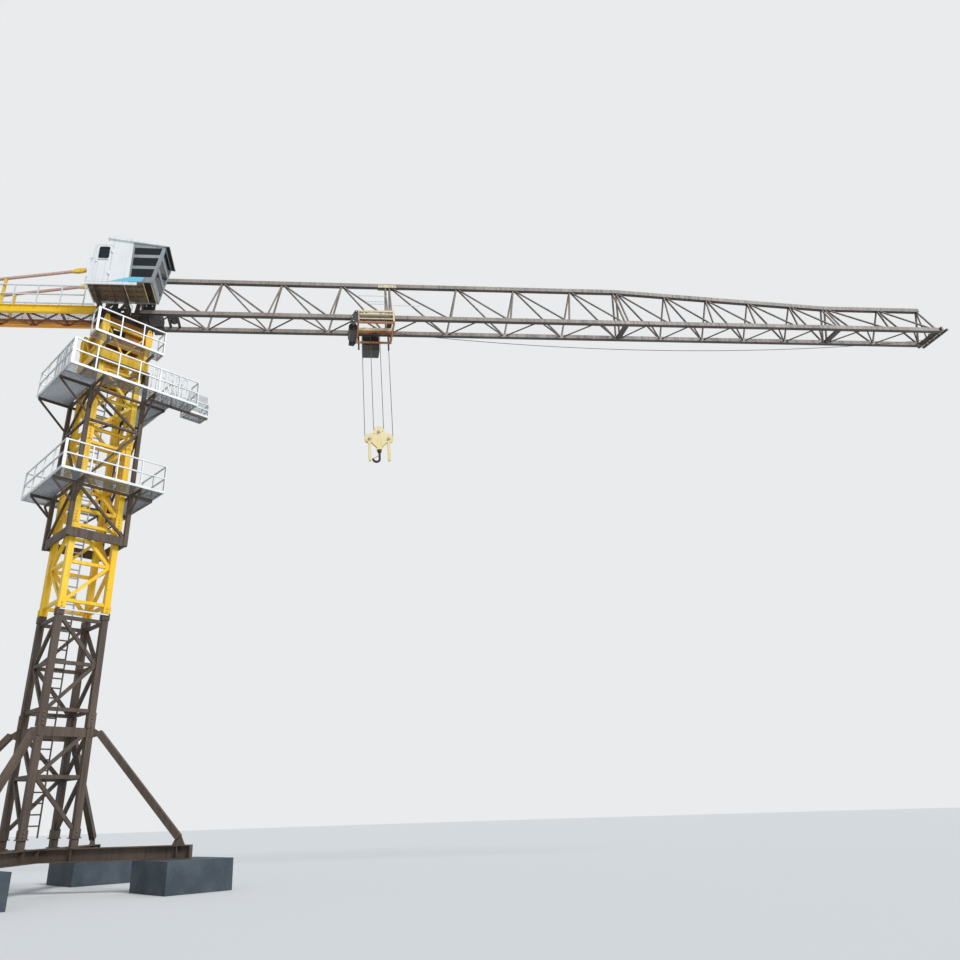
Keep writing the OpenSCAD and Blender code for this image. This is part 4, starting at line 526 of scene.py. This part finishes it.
# %% Wire rope
rope_material, tree, shader, place = new_finish("Drawn_steel_wire_rope")
lay = add_node(tree, "ShaderNodeTexWave", {"Vector": place, "Scale": 26.0, "Distortion": 0.6},
               wave_type="BANDS", bands_direction="DIAGONAL")
strand = add_node(tree, "ShaderNodeMix", {
    0: lay.outputs["Fac"], 6: linear("#2f2c29"), 7: linear("#6a6661")}, data_type="RGBA")
tree.links.new(strand.outputs[2], shader.inputs["Base Color"])
grooves = add_node(tree, "ShaderNodeBump", {"Height": lay.outputs["Fac"], "Strength": 0.5, "Distance": 0.002})
tree.links.new(grooves.outputs[0], shader.inputs["Normal"])
greasy = add_node(tree, "ShaderNodeMapRange", {"Value": lay.outputs["Fac"], "To Min": 0.55, "To Max": 0.4})
tree.links.new(greasy.outputs[0], shader.inputs["Roughness"])
shader.inputs["Metallic"].default_value = 0.6

# %% [markdown]
# ## Rubber and forged steel
# Window seals are extruded black rubber, matt and slightly chalky. The hook is forged: it keeps a dark scale with
# hammer marks, worn brighter where slings rub, so one noise drives its colour, its bumps and its roughness.

# %% Rubber and forged steel
rubber, tree, shader, place = new_finish("Black_EPDM_rubber")
chalk = add_node(tree, "ShaderNodeTexNoise", {"Vector": place, "Scale": 35.0, "Detail": 4.0})
bloom = add_node(tree, "ShaderNodeMix", {
    0: chalk.outputs[0], 6: linear("#141516"), 7: linear("#2d2f30")}, data_type="RGBA")
tree.links.new(bloom.outputs[2], shader.inputs["Base Color"])
soft = add_node(tree, "ShaderNodeBump", {"Height": chalk.outputs[0], "Strength": 0.2, "Distance": 0.001})
tree.links.new(soft.outputs[0], shader.inputs["Normal"])
shader.inputs["Roughness"].default_value = 0.72

forged_steel, tree, shader, place = new_finish("Forged_hook_steel")
scale_marks = add_node(tree, "ShaderNodeTexNoise", {"Vector": place, "Scale": 40.0, "Detail": 6.0})
forged = add_node(tree, "ShaderNodeMix", {
    0: scale_marks.outputs[0], 6: linear("#2a2624"), 7: linear("#57493f")}, data_type="RGBA")
tree.links.new(forged.outputs[2], shader.inputs["Base Color"])
hammer = add_node(tree, "ShaderNodeBump", {
    "Height": scale_marks.outputs[0], "Strength": 0.5, "Distance": 0.003})
tree.links.new(hammer.outputs[0], shader.inputs["Normal"])
worn = add_node(tree, "ShaderNodeMapRange", {"Value": scale_marks.outputs[0], "To Min": 0.35, "To Max": 0.7})
tree.links.new(worn.outputs[0], shader.inputs["Roughness"])
shader.inputs["Metallic"].default_value = 0.75

# %% [markdown]
# ## Which finish goes where
# The lower mast, the cross base and the climbing frame wear brown paint, and the upper mast, the slewing support and
# the counter-jib wear yellow. The record lists the same slots, so a swap of one slot changes the same parts. A few
# nodes look different from the rest of their slot, such as forged steel on the hook, and get a finish of their own.

# %% Give the CAD nodes their finishes
finish_of_slot = {
    "brown_steel": brown_enamel, "yellow_steel": yellow_enamel, "dark_steel": jib_enamel,
    "orange_steel": orange_enamel, "galvanised_steel": galvanised, "grey_paint": grey_enamel, "cab_paint": white_enamel,
    "cream_paint": cream_enamel, "block_paint": block_enamel, "tie_paint": tie_enamel,
    "wire_rope": rope_material, "floor_paint": floor_enamel, "dark_glass": glass_material,
    "ballast_concrete": slate_concrete, "counterweight_concrete": bare_concrete}
special_finish = {
    "trolley_sheaves": machine_enamel, "hook_sheaves": machine_enamel, "trolley_wheels": machine_enamel,
    "trolley_basket": machine_enamel, "hook": forged_steel, "slewing_ring": machine_enamel,
    "trolley_winch": machine_enamel, "slewing_motors": machine_enamel, "mast_ladder": ladder_enamel,
    "counter_jib_frame": girder_enamel}
for part in frame["record"]["subparts"]:
    node = nodes[part["node"]]
    node.data.materials.clear()
    node.data.materials.append(special_finish.get(part["node"], finish_of_slot[part["material_slot"]]))

# %% [markdown]
# ## Light and floor
# A large soft lamp from behind the viewer's right shoulder stands in for daylight, and a pale sky fills the shadows.
# The floor is a plain pale sheet that keeps the crane's shadow. What the camera, mirrors and glass see beyond it is
# the same pale tone, so the crane's outline stays clear.

# %% Studio
PALE = "#e9ebec"
sun = bpy.data.lights.new("Soft_day_lamp", "SUN")
sun.energy = 2.15
sun.angle = math.radians(18)
lamp = bpy.data.objects.new("Soft_day_lamp", sun)
lamp.rotation_euler = Vector((-0.5, 0.6, -0.62)).to_track_quat("-Z", "Y").to_euler()
bpy.context.scene.collection.objects.link(lamp)

world = bpy.data.worlds.new("Pale_sky")
world.use_nodes = True
bpy.context.scene.world = world
sky = world.node_tree
sky.nodes.clear()
path = add_node(sky, "ShaderNodeLightPath")
seen = add_node(sky, "ShaderNodeMath", {
    0: path.outputs["Is Camera Ray"], 1: path.outputs["Is Glossy Ray"]}, operation="MAXIMUM")
seen = add_node(sky, "ShaderNodeMath", {
    0: seen.outputs[0], 1: path.outputs["Is Transmission Ray"]}, operation="MAXIMUM")
fill = add_node(sky, "ShaderNodeBackground", {"Color": linear("#dfe6ee"), "Strength": 0.54})
backdrop = add_node(sky, "ShaderNodeBackground", {"Color": linear(PALE), "Strength": 1.0})
both = add_node(sky, "ShaderNodeMixShader", {0: seen.outputs[0], 1: fill.outputs[0], 2: backdrop.outputs[0]})
add_node(sky, "ShaderNodeOutputWorld", {"Surface": both.outputs[0]})

select_only()
bpy.ops.mesh.primitive_circle_add(vertices=64, radius=90, fill_type="NGON", location=(4, 20, -0.002))
floor = bpy.context.object
floor.name = "Studio_floor"
floor_material, tree, shader, place = new_finish("Pale_studio_floor")
shader.inputs["Base Color"].default_value = linear("#e3e5e6")
shader.inputs["Roughness"].default_value = 0.9
floor.data.materials.append(floor_material)

# %% [markdown]
# ## Ropes
# Four falls of wire rope carry the hook block, and a slack rope hangs between the trolley and the jib's tip. A rope
# is a smooth tube along a line, so it's drawn as a curve with a round section and then made a mesh with many rings.
# The rings let it stretch between two moving bodies: the falls when the hook is hoisted, the other when the trolley
# travels. The slack rope is as long as the photograph shows it, from end to end.

# %% Ropes
ROPE_D = 0.012


def rope_along(points, name):
    rope = tube_along(points, ROPE_D / 2)
    rope.name = name
    rope.data.materials.clear()
    rope.data.materials.append(rope_material)
    return rope


trolley_end, tip_end, SAG = Vector((5.5312, 0, 9.6628)), Vector((17.445, 0, 9.7852)), 0.361
slack_line = []
for i in range(61):
    t = i / 60
    slack_line.append(trolley_end.lerp(tip_end, t) - Vector((0, 0, 4 * SAG * t * (1 - t))))
slack_rope = rope_along(slack_line, "slack_rope_laid")
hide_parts("slack_rope")
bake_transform(slack_rope, "trolley", "slewing_top", start=slack_line[0], end=slack_line[-1])
# A smooth turn between the bodies would push the middle of so long a rope past the jib's tip when the trolley runs
# out, so each point's share falls evenly along the rope instead.
rope_run = tip_end.x - trolley_end.x
for share, point in zip(slack_rope.data.attributes["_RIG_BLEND"].data, slack_rope.data.vertices):
    share.value = min(1.0, max(0.0, (point.co.x - trolley_end.x) / rope_run))

TROLLEY_X, BLOCK_Z, LOBE_X, FALL_R = 5.15, 7.214, 0.183, 0.0863
falls_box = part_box("hoist_ropes")
for number, (side, away) in enumerate(((-1, 1), (-1, -1), (1, -1), (1, 1))):
    x = TROLLEY_X + side * (LOBE_X + away * FALL_R)
    top = 9.7048 if away < 0 else 9.7293
    steps = [Vector((x, 0, BLOCK_Z + (top - BLOCK_Z) * i / 24)) for i in range(25)]
    fall = rope_along(steps, f"hoist_fall_{number + 1}")
    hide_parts("hoist_ropes")
    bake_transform(fall, "hook_block", "trolley", start=steps[0], end=steps[-1])
print("the falls run from", [round(v, 3) for v in falls_box[0]], "to", [round(v, 3) for v in falls_box[1]])

# %% [markdown]
# ## Gratings
# Site decks are welded grating: upright flat bars a little over three centimetres apart in full size, tied by thin
# cross rods and closed by a border bar. A texture would stay opaque, and daylight shows through the real one from
# below, so the bars are modelled. One bar and one rod are made at the model's scale and repeated with Array.

# %% Grating
BAR_PITCH, BAR_T, ROD_PITCH, ROD_T = 0.017, 0.0026, 0.05, 0.004


def grating(low, high):
    """One panel of grating in a box, with its bars along Y, its rods along X and a border round them."""
    (x0, y0, z0), (x1, y1, z1) = low, high
    bars = repeated(box_piece((x0, y0, z0), (x0 + BAR_T, y1, z1)), (BAR_PITCH, 0, 0), int((x1 - x0) / BAR_PITCH))
    rods = repeated(box_piece((x0, y0 + ROD_PITCH / 2, z1 - ROD_T), (x1, y0 + ROD_PITCH / 2 + ROD_T, z1)),
                    (0, ROD_PITCH, 0), max(1, int((y1 - y0 - ROD_PITCH / 2) / ROD_PITCH)))
    edge = 2 * BAR_T
    border = [box_piece((x0, y0, z0), (x1, y0 + edge, z1)), box_piece((x0, y1 - edge, z0), (x1, y1, z1)),
              box_piece((x0, y0, z0), (x0 + edge, y1, z1)), box_piece((x1 - edge, y0, z0), (x1, y1, z1))]
    return joined([bars, rods, *border])


def deck_of_gratings(name, panels, node, body, turn, material=grating_zinc_shade_darkened):
    """Gratings that take the place of a deck's solid, in the mast's own square directions."""
    made = []
    for low, high in panels:
        across = high[0] - low[0] < high[1] - low[1]
        if across:
            panel = grating((low[1], -high[0], low[2]), (high[1], -low[0], high[2]))
            panel.data.transform(Matrix.Rotation(math.pi / 2, 4, "Z"))
        else:
            panel = grating(low, high)
        made.append(panel)
    deck = finish_piece(joined(made), name, body, material, turn)
    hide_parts(node)
    print(name, "has", len(deck.data.polygons), "faces")
    return deck


LOWER_Z, UPPER_Z, TOP_Z, DECK_T, GAP = 6.012, 7.894, 8.82, 0.012, 0.0005


def plank(x0, y0, x1, y1, z):
    return (x0, y0, z - DECK_T), (x1, y1, z)


deck_of_gratings("lower_platform_gratings", [
    plank(-0.895, -0.895, 0.895, -0.53, LOWER_Z), plank(-0.895, 0.53, 0.895, 0.895, LOWER_Z),
    plank(-0.895, -0.5295, -0.53, 0.5295, LOWER_Z), plank(0.53, -0.5295, 0.895, 0.5295, LOWER_Z)],
    "lower_platform_deck", "mast_and_base", MAST_TURN)
deck_of_gratings("upper_platform_gratings", [
    plank(-1.09, -1.0, 1.33, -0.71, UPPER_Z), plank(-1.09, -0.7095, -0.53, 0.525, UPPER_Z),
    plank(0.53, -0.7095, 0.94, 0.525, UPPER_Z), plank(1.3305, -0.7095, 1.74, -0.43, UPPER_Z)],
    "upper_platform_deck", "mast_and_base", MAST_TURN)
counter_low, counter_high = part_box("counter_jib_deck")
deck_of_gratings("counter_jib_gratings", [(tuple(counter_low), tuple(counter_high))],
                 "counter_jib_deck", "slewing_top", None, deck_enamel)
top_arms = [box_piece((s * 0.44 - 0.015, -0.85, 8.735), (s * 0.44 + 0.015, -0.492, 8.808), 0.003) for s in (-1, 1)]
top_panel = grating(*plank(-0.72, -0.85, 0.6, -0.61, TOP_Z))
top_deck = finish_piece(joined([top_panel, *top_arms]), "top_platform_gratings", "mast_and_base", grating_zinc_shade_darkened,
                        MAST_TURN)
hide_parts("top_platform_deck")

# %% [markdown]
# ## Bolts at the mast's joints
# Where two mast sections meet, square sleeves round the chords are drawn together by heavy bolts. A head is a hexagon
# with a turned washer under it, painted over with its section. One is made and copied to both outer faces of every
# sleeve.

# %% Joint bolts
def bolt_head(across_flats=0.027, high=0.012):
    """A hexagon head with its washer, standing on Z = 0 and pointing up."""
    washer = round_piece((0, 0, 0), (0, 0, high / 4), across_flats * 0.72, 12)
    head = round_piece((0, 0, high / 4), (0, 0, high), across_flats * 0.577, 6)
    bpy.ops.object.mode_set(mode="EDIT")
    bpy.ops.mesh.select_all(action="DESELECT")
    bpy.ops.object.mode_set(mode="OBJECT")
    for face in head.data.polygons:
        face.select = face.normal.z > 0.9
    bpy.ops.object.mode_set(mode="EDIT")
    bpy.ops.mesh.inset(thickness=across_flats * 0.06, depth=high * 0.12)
    bpy.ops.object.mode_set(mode="OBJECT")
    return joined([washer, head])


def bolts_at(pattern, places, name, body, turn=None, material=None):
    """Copies of a bolt, each turned to look along a direction and set on its place."""
    made = []
    for place, direction in places:
        twin = pattern.copy()
        twin.data = pattern.data.copy()
        facing = Vector(direction).to_track_quat("Z", "Y").to_matrix().to_4x4()
        twin.data.transform(Matrix.Translation(Vector(place)) @ facing)
        bpy.context.scene.collection.objects.link(twin)
        made.append(twin)
    bpy.data.objects.remove(pattern)
    row = finish_piece(joined(made), name, body, material or bolt_zinc, turn)
    print(name, "has", len(places), "bolts")
    return row


MAST_HALF, SLEEVE = 0.3725, 0.06
joint_levels = [0.7, 2.16, 2.27, 3.79] + [3.9 + 1.545 * n + z for n in range(3) for z in (0.0, 1.435)]
quarter_turns = [Matrix.Rotation(math.pi / 2 * n, 3, "Z") for n in range(4)]
joint_places = []
for level in joint_levels:
    for quarter in quarter_turns:
        for side in (-1, 1):
            for z in (level + 0.03, level + 0.08):
                joint_places.append((quarter @ Vector((side * MAST_HALF, -MAST_HALF - SLEEVE, z)),
                                     quarter @ Vector((0, -1, 0))))
bolts_at(bolt_head(), joint_places, "mast_joint_bolts", "mast_and_base", MAST_TURN, bolt_enamel)

# %% [markdown]
# ## The cab's seals, rail and trim
# The door's window sits in a rounded rubber section, so a closed tube with bent corners follows its edge. A light
# blue wedge is painted on the wall's foot, and folded strips cover the joint of wall and floor. All of this is thin,
# so a few millimetres of real thickness is enough for the edges to catch light.

# %% Door seal, sill and grab rail
WALL_Y = -1.2
DOOR_PANE = ((-0.218, 10.424), (-0.032, 10.694))
(pane_x0, pane_z0), (pane_x1, pane_z1) = DOOR_PANE
SEAL_Y = WALL_Y - 0.004


def seal_round(x0, x1, z0, z1, y, corner=0.03, radius=0.006):
    """A rubber section round a pane, with bent corners."""
    ring = [(x0, y, z0), (x1, y, z0), (x1, y, z1), (x0, y, z1)]
    return tube_along(rounded_bend(ring, corner, closed=True), radius, closed=True)


finish_piece(seal_round(pane_x0, pane_x1, pane_z0, pane_z1, SEAL_Y), "cab_door_window_seal", "cab_door_leaf", rubber)
finish_piece(box_piece((pane_x0 - 0.008, WALL_Y - 0.016, 10.38), (pane_x1 + 0.006, WALL_Y, 10.394), 0.003),
             "cab_door_window_sill", "cab_door_leaf", galvanised)
rail_line = rounded_bend([(-0.31, WALL_Y, 10.41), (-0.31, WALL_Y - 0.035, 10.41), (-0.374, WALL_Y - 0.04, 10.36),
                          (-0.363, WALL_Y - 0.04, 9.93), (-0.363, WALL_Y, 9.93)], 0.02)
finish_piece(tube_along(rail_line, 0.008), "cab_grab_rail", "slewing_top", galvanised)

# %% [markdown]
# The wedge is a plate of six points and the wall's foot a folded strip below the sheet. Under the roof's overhang, a
# dark sheet that follows its slope is painted shade. The slope is the roof's fall over its run, so the sheet stays
# against the roof.

# %% Blue wedge, wall foot and painted shade under the roof
wedge = [(0.06, 9.874), (0.419, 9.981), (0.483, 9.984), (0.69, 9.978), (0.649, 9.888), (0.536, 9.868)]
finish_piece(plate_piece([(x, WALL_Y + 0.001, z) for x, z in wedge], (0, -0.003, 0), 0.0008), "cab_blue_wedge",
             "slewing_top", sky_enamel)
finish_piece(box_piece((-0.387, WALL_Y + 0.004, 9.808), (0.56, WALL_Y + 0.03, 9.862), 0.004), "cab_wall_foot",
             "slewing_top", white_enamel)
ROOF_FALL, ROOF_X, ROOF_Z = 0.1515, 1.02, 10.731
# A dark sheet under the roof's overhang: painted shade where the overhang shades the cab's front.
shade_sheet_ends = [(x, ROOF_Z - ROOF_FALL * (x - ROOF_X) - 0.0005) for x in (1.012, 1.085)]
shade_sheet = plate_piece([(shade_sheet_ends[0][0], -1.215, shade_sheet_ends[0][1]), (shade_sheet_ends[1][0], -1.215, shade_sheet_ends[1][1]),
                      (shade_sheet_ends[1][0], -0.505, shade_sheet_ends[1][1]), (shade_sheet_ends[0][0], -0.505, shade_sheet_ends[0][1])],
                     (0, 0, -0.006), 0.001)
finish_piece(shade_sheet, "cab_roof_shade_sheet", "slewing_top", rubber)

# %% [markdown]
# Through a pane in the floor the operator looks straight down at the load. It's a thin dark plate between two pale
# edge strips, and a third strip covers the seam between the floor's sheets.

# %% Floor window and its trim
FLOOR_Z = 9.864
floor_pane = box_piece((0.68, -1.16, FLOOR_Z - 0.004), (0.812, -0.57, FLOOR_Z), 0.001)
finish_piece(floor_pane, "cab_floor_window", "slewing_top", glass_material)
edges = [box_piece((x, -1.17, FLOOR_Z - 0.014), (x + 0.012, -0.56, FLOOR_Z), 0.003) for x in (0.668, 0.812)]
edges.append(box_piece((0.3, -1.17, FLOOR_Z - 0.012), (0.313, -0.56, FLOOR_Z), 0.003))
finish_piece(joined(edges), "cab_floor_trim", "slewing_top", cream_enamel)

# %% [markdown]
# ## Covers under the cab
# Between the turntable and the first jib section sit the slewing gear's covers and a cable box: dark folded boxes
# that hang under the jib's foot and close the view there. Their black is partly painted shade for the cab's shadow
# there. Each is a box with broken edges and an inset lid.

# %% Slewing gear covers
LID_AREA = 0.01  # square metres; smaller faces are the broken edges


def cover_box(low, high):
    """A folded cover: broken edges, and each upright face pressed in a little as a lid."""
    return press_in(box_piece(low, high, 0.008), lambda face: abs(face.normal.z) < 0.1 and face.area > LID_AREA,
                    0.012, -0.004, each=True)


# The black covers are partly painted shade, standing in for the cab's shadow on the jib's foot.
covers = [cover_box((0.452, -0.27, 9.63), (0.62, 0.27, 9.79)), cover_box((0.63, -0.3, 9.655), (0.9, -0.06, 9.79)),
          cover_box((0.66, 0.0, 9.67), (0.86, 0.26, 9.79)), cover_box((0.44, -0.22, 9.66), (0.452, 0.22, 9.76)),
          cover_box((0.5, -0.3, 9.8), (0.74, -0.285, 10.04))]
finish_piece(joined(covers), "slewing_gear_covers_partly_painted_shade", "slewing_top", machine_enamel)
web = plate_piece([(-0.28, -0.392, 9.64), (0.3, -0.392, 9.64), (0.3, -0.392, 9.85), (-0.28, -0.392, 9.85)],
                  (0, 0.008, 0), 0.002)
for x in (-0.14, 0.0, 0.14):
    cut_hole(web, (x, -0.5, 9.76), (x, -0.3, 9.76), 0.03)
finish_piece(web, "cab_bracket_web", "slewing_top", brown_enamel)
knobs = [round_piece((x, -0.305, z), (x, -0.285, z), 0.016, 16)
         for x, z in ((0.56, 9.985), (0.68, 9.985), (0.56, 9.84), (0.7, 9.84))]
finish_piece(joined(knobs), "cover_lamps", "slewing_top", white_enamel)
cable_line = rounded_bend([(0.3, -0.53, 9.862), (0.367, -0.53, 9.79), (0.34, -0.5, 9.7), (0.3, -0.4, 9.68)], 0.05)
finish_piece(tube_along(cable_line, 0.006), "cab_feed_conduit", "slewing_top", galvanised)

# %% [markdown]
# ## Trolley gear
# The trolley carries a drum at its tower end, that keeps the winch rope tight, and dark channels down its far side
# that hold the service basket, which has a pale rail on top.

# %% Trolley gear
FAR_Y, NEAR_Y = 0.375, -0.375
drum_sides = [plate_piece([(4.625, y, 9.6), (4.72, y, 9.575), (4.79, y, 9.66), (4.79, y, 9.93), (4.73, y, 9.94),
                           (4.64, y, 9.78)], (0, 0.01, 0), 0.002) for y in (NEAR_Y - 0.012, FAR_Y + 0.002)]
drum_shaft = round_piece((4.69, NEAR_Y - 0.02, 9.66), (4.69, FAR_Y + 0.02, 9.66), 0.018, 16)
drum_body = round_piece((4.69, -0.2, 9.66), (4.69, 0.2, 9.66), 0.09, 32)
press_in(drum_body, lambda face: abs(face.normal.y) > 0.9, 0.03, -0.02, each=True)
finish_piece(joined([*drum_sides, drum_shaft, drum_body]), "trolley_rope_drum", "trolley", machine_enamel)
nuts = [round_piece((x, NEAR_Y - 0.03, z), (x, NEAR_Y - 0.012, z), 0.014, 6)
        for x, z in ((4.69, 9.66), (4.66, 9.76), (4.75, 9.9), (4.74, 9.61))]
finish_piece(joined(nuts), "trolley_drum_nuts", "trolley", bolt_zinc)
posts = [box_piece((x, FAR_Y, 9.515), (x + 0.034, FAR_Y + 0.03, 9.87), 0.005) for x in (4.823, 5.453)]
posts += [box_piece((x, FAR_Y + 0.03, 9.515), (x + 0.034, FAR_Y + 0.055, 9.56), 0.004) for x in (4.823, 5.453)]
finish_piece(joined(posts), "trolley_basket_hangers", "trolley", brown_enamel)
mid_rails = [box_piece((4.8, y, 9.845), (5.5, y + 0.02, 9.87), 0.004) for y in (NEAR_Y - 0.012, NEAR_Y + 0.012)]
mid_rails.append(box_piece((4.8, NEAR_Y - 0.008, 9.735), (5.5, NEAR_Y + 0.012, 9.755), 0.004))
finish_piece(joined(mid_rails), "trolley_side_rails", "trolley", cream_enamel)
basket_low, basket_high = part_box("trolley_basket")
rail = [(basket_low[0], basket_low[1], basket_high[2] - 0.006), (basket_high[0], basket_low[1], basket_high[2] - 0.006),
        (basket_high[0], basket_high[1], basket_high[2] - 0.006),
        (basket_low[0], basket_high[1], basket_high[2] - 0.006)]
finish_piece(tube_along(rounded_bend(rail, 0.02, closed=True), 0.009, closed=True), "trolley_basket_rail", "trolley",
             galvanised)

# %% [markdown]
# ## Joint plates and the winch ladder on the jib
# Two jib sections meet over the trolley: pale plates lap the top chord there, and a short ladder of thin rods leads
# down to the trolley. The plates are cut to a trapezium, so their ends carry the force gently into the chord.

# %% Joint plates and rungs
lap = [(5.243, 10.797), (5.649, 10.797), (5.62, 10.874), (5.27, 10.874)]
laps = [plate_piece([(x, y, z) for x, z in lap], (0, 0.006, 0), 0.002) for y in (-0.056, 0.05)]
finish_piece(joined(laps), "jib_joint_plates", "slewing_top", cream_enamel)
lap_bolts = [((x, -0.056, z), (0, -1, 0)) for x in (5.3, 5.36, 5.53, 5.59) for z in (10.817, 10.855)]
bolts_at(bolt_head(0.02, 0.008), lap_bolts, "jib_joint_bolts", "slewing_top")
rungs = []
for y, z, x0, x1 in ((-0.14, 10.5, 4.81, 5.39), (-0.14, 10.355, 4.99, 5.365), (-0.14, 10.291, 5.025, 5.373),
                     (-0.14, 10.265, 5.553, 6.095)):
    rungs.append(round_piece((x0, y, z), (x1, y, z), 0.006, 10))
finish_piece(joined(rungs), "jib_winch_rungs", "slewing_top", galvanised)

# %% [markdown]
# ## Mast fittings
# A pale bar lies across the near face where the brown section ends, and the ends of the upper platform have dense
# guard hoops, so nobody steps out beside the climbing frame.

# %% Crossbar and guard hoops
finish_piece(box_piece((-0.4, -0.452, 3.866), (0.4, -0.434, 3.888), 0.004), "mast_crossbar", "mast_and_base",
             galvanised, MAST_TURN)
RAIL_H, HOOP_R = 0.48, 0.009


def guard_hoop(start, end, high=RAIL_H):
    """A hoop of bent tube that stands on two points."""
    a, b = Vector(start), Vector(end)
    lift = Vector((0, 0, high))
    return tube_along(rounded_bend([a, a + lift, b + lift, b], 0.05), HOOP_R)


hoops = [guard_hoop((-1.083, y, UPPER_Z), (-1.083, y + 0.1, UPPER_Z), RAIL_H + 0.04)
         for y in (-0.93, -0.78, -0.63, -0.48, -0.33)]
hoops += [guard_hoop((x, -0.992, UPPER_Z), (x + 0.09, -0.992, UPPER_Z)) for x in (0.40, 0.56, 0.72, 0.88, 1.02)]
hoops += [guard_hoop((x, -0.72, UPPER_Z), (x + 0.1, -0.72, UPPER_Z), RAIL_H + 0.05) for x in (0.5, 0.68, 0.86, 1.04)]
finish_piece(joined(hoops), "upper_platform_hoops", "mast_and_base", galvanised, MAST_TURN)
wires = repeated(box_piece((1.36, -0.716, UPPER_Z + 0.02), (1.362, -0.713, UPPER_Z + RAIL_H - 0.03)), (0.016, 0, 0), 23)
cross_wires = repeated(box_piece((1.36, -0.716, UPPER_Z + 0.03), (1.72, -0.713, UPPER_Z + 0.032)), (0, 0, 0.016), 26)
finish_piece(joined([wires, cross_wires]), "stand_cage_mesh", "mast_and_base", grating_zinc_shade_darkened,
             MAST_TURN)

# %% [markdown]
# ## Hook block
# Three sheaves turn on pins through the block's cheeks. Each pin ends in a cap, with a keeper plate below it that
# stops the pin from turning. The hook has a sprung latch across its throat.

# %% Pins, keepers and crosshead
block_low, block_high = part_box("hook_block")
SHEAVE_PINS = ((4.967, 7.214), (5.333, 7.214), (5.15, 7.36))
caps = []
for x, z in SHEAVE_PINS:
    for side in (-1, 1):
        y = block_low[1] if side < 0 else block_high[1]
        cap = round_piece((x, y - side * 0.002, z), (x, y + side * 0.008, z), 0.02, 20)
        caps.append(cap)
finish_piece(joined(caps), "block_pin_caps", "hook_block", bolt_zinc)
keepers = [box_piece((x - 0.03, y - 0.003, z - 0.042), (x + 0.03, y + 0.003, z - 0.026), 0.0015)
           for x, z in SHEAVE_PINS for y in (block_low[1] - 0.001, block_high[1] + 0.001)]
finish_piece(joined(keepers), "block_pin_keepers", "hook_block", grating_zinc_shade_darkened)
latch = tube_along([(5.168, 0, 6.87), (5.12, 0, 6.845), (5.07, 0, 6.815), (5.035, 0, 6.8)], 0.007)
finish_piece(latch, "hook_latch", "hook", bolt_zinc)
print("the hook block has", len(caps), "pin caps")

# %% [markdown]
# ## Cabinet on the counter-jib
# The switch cabinet has a flat door with a rolled edge, two hinges and a turning handle. The door is a thin plate
# with its face pressed in by an inset.

# %% Cabinet door
cab_low, cab_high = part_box("electric_cabinet")
door = box_piece((cab_low[0] + 0.012, cab_low[1] - 0.008, cab_low[2] + 0.03),
                 (cab_high[0] - 0.012, cab_low[1] + 0.002, cab_high[2] - 0.02), 0.003)
press_in(door, lambda face: face.normal.y < -0.9 and face.area > LID_AREA, 0.02, -0.004)
finish_piece(door, "cabinet_door", "slewing_top", grey_enamel)
handle_x, handle_y = cab_high[0] - 0.045, cab_low[1] - 0.004
handle = tube_along(rounded_bend([(handle_x, handle_y, 10.14), (handle_x, handle_y - 0.022, 10.14),
                                  (handle_x, handle_y - 0.022, 10.24), (handle_x, handle_y, 10.24)], 0.01), 0.005)
hinge_x, hinge_y = cab_low[0] + 0.02, cab_low[1] - 0.01
hinges = [round_piece((hinge_x, hinge_y, z), (hinge_x, hinge_y, z + 0.05), 0.006, 10) for z in (10.05, 10.3)]
finish_piece(joined([handle, *hinges]), "cabinet_handle", "slewing_top", bolt_zinc)
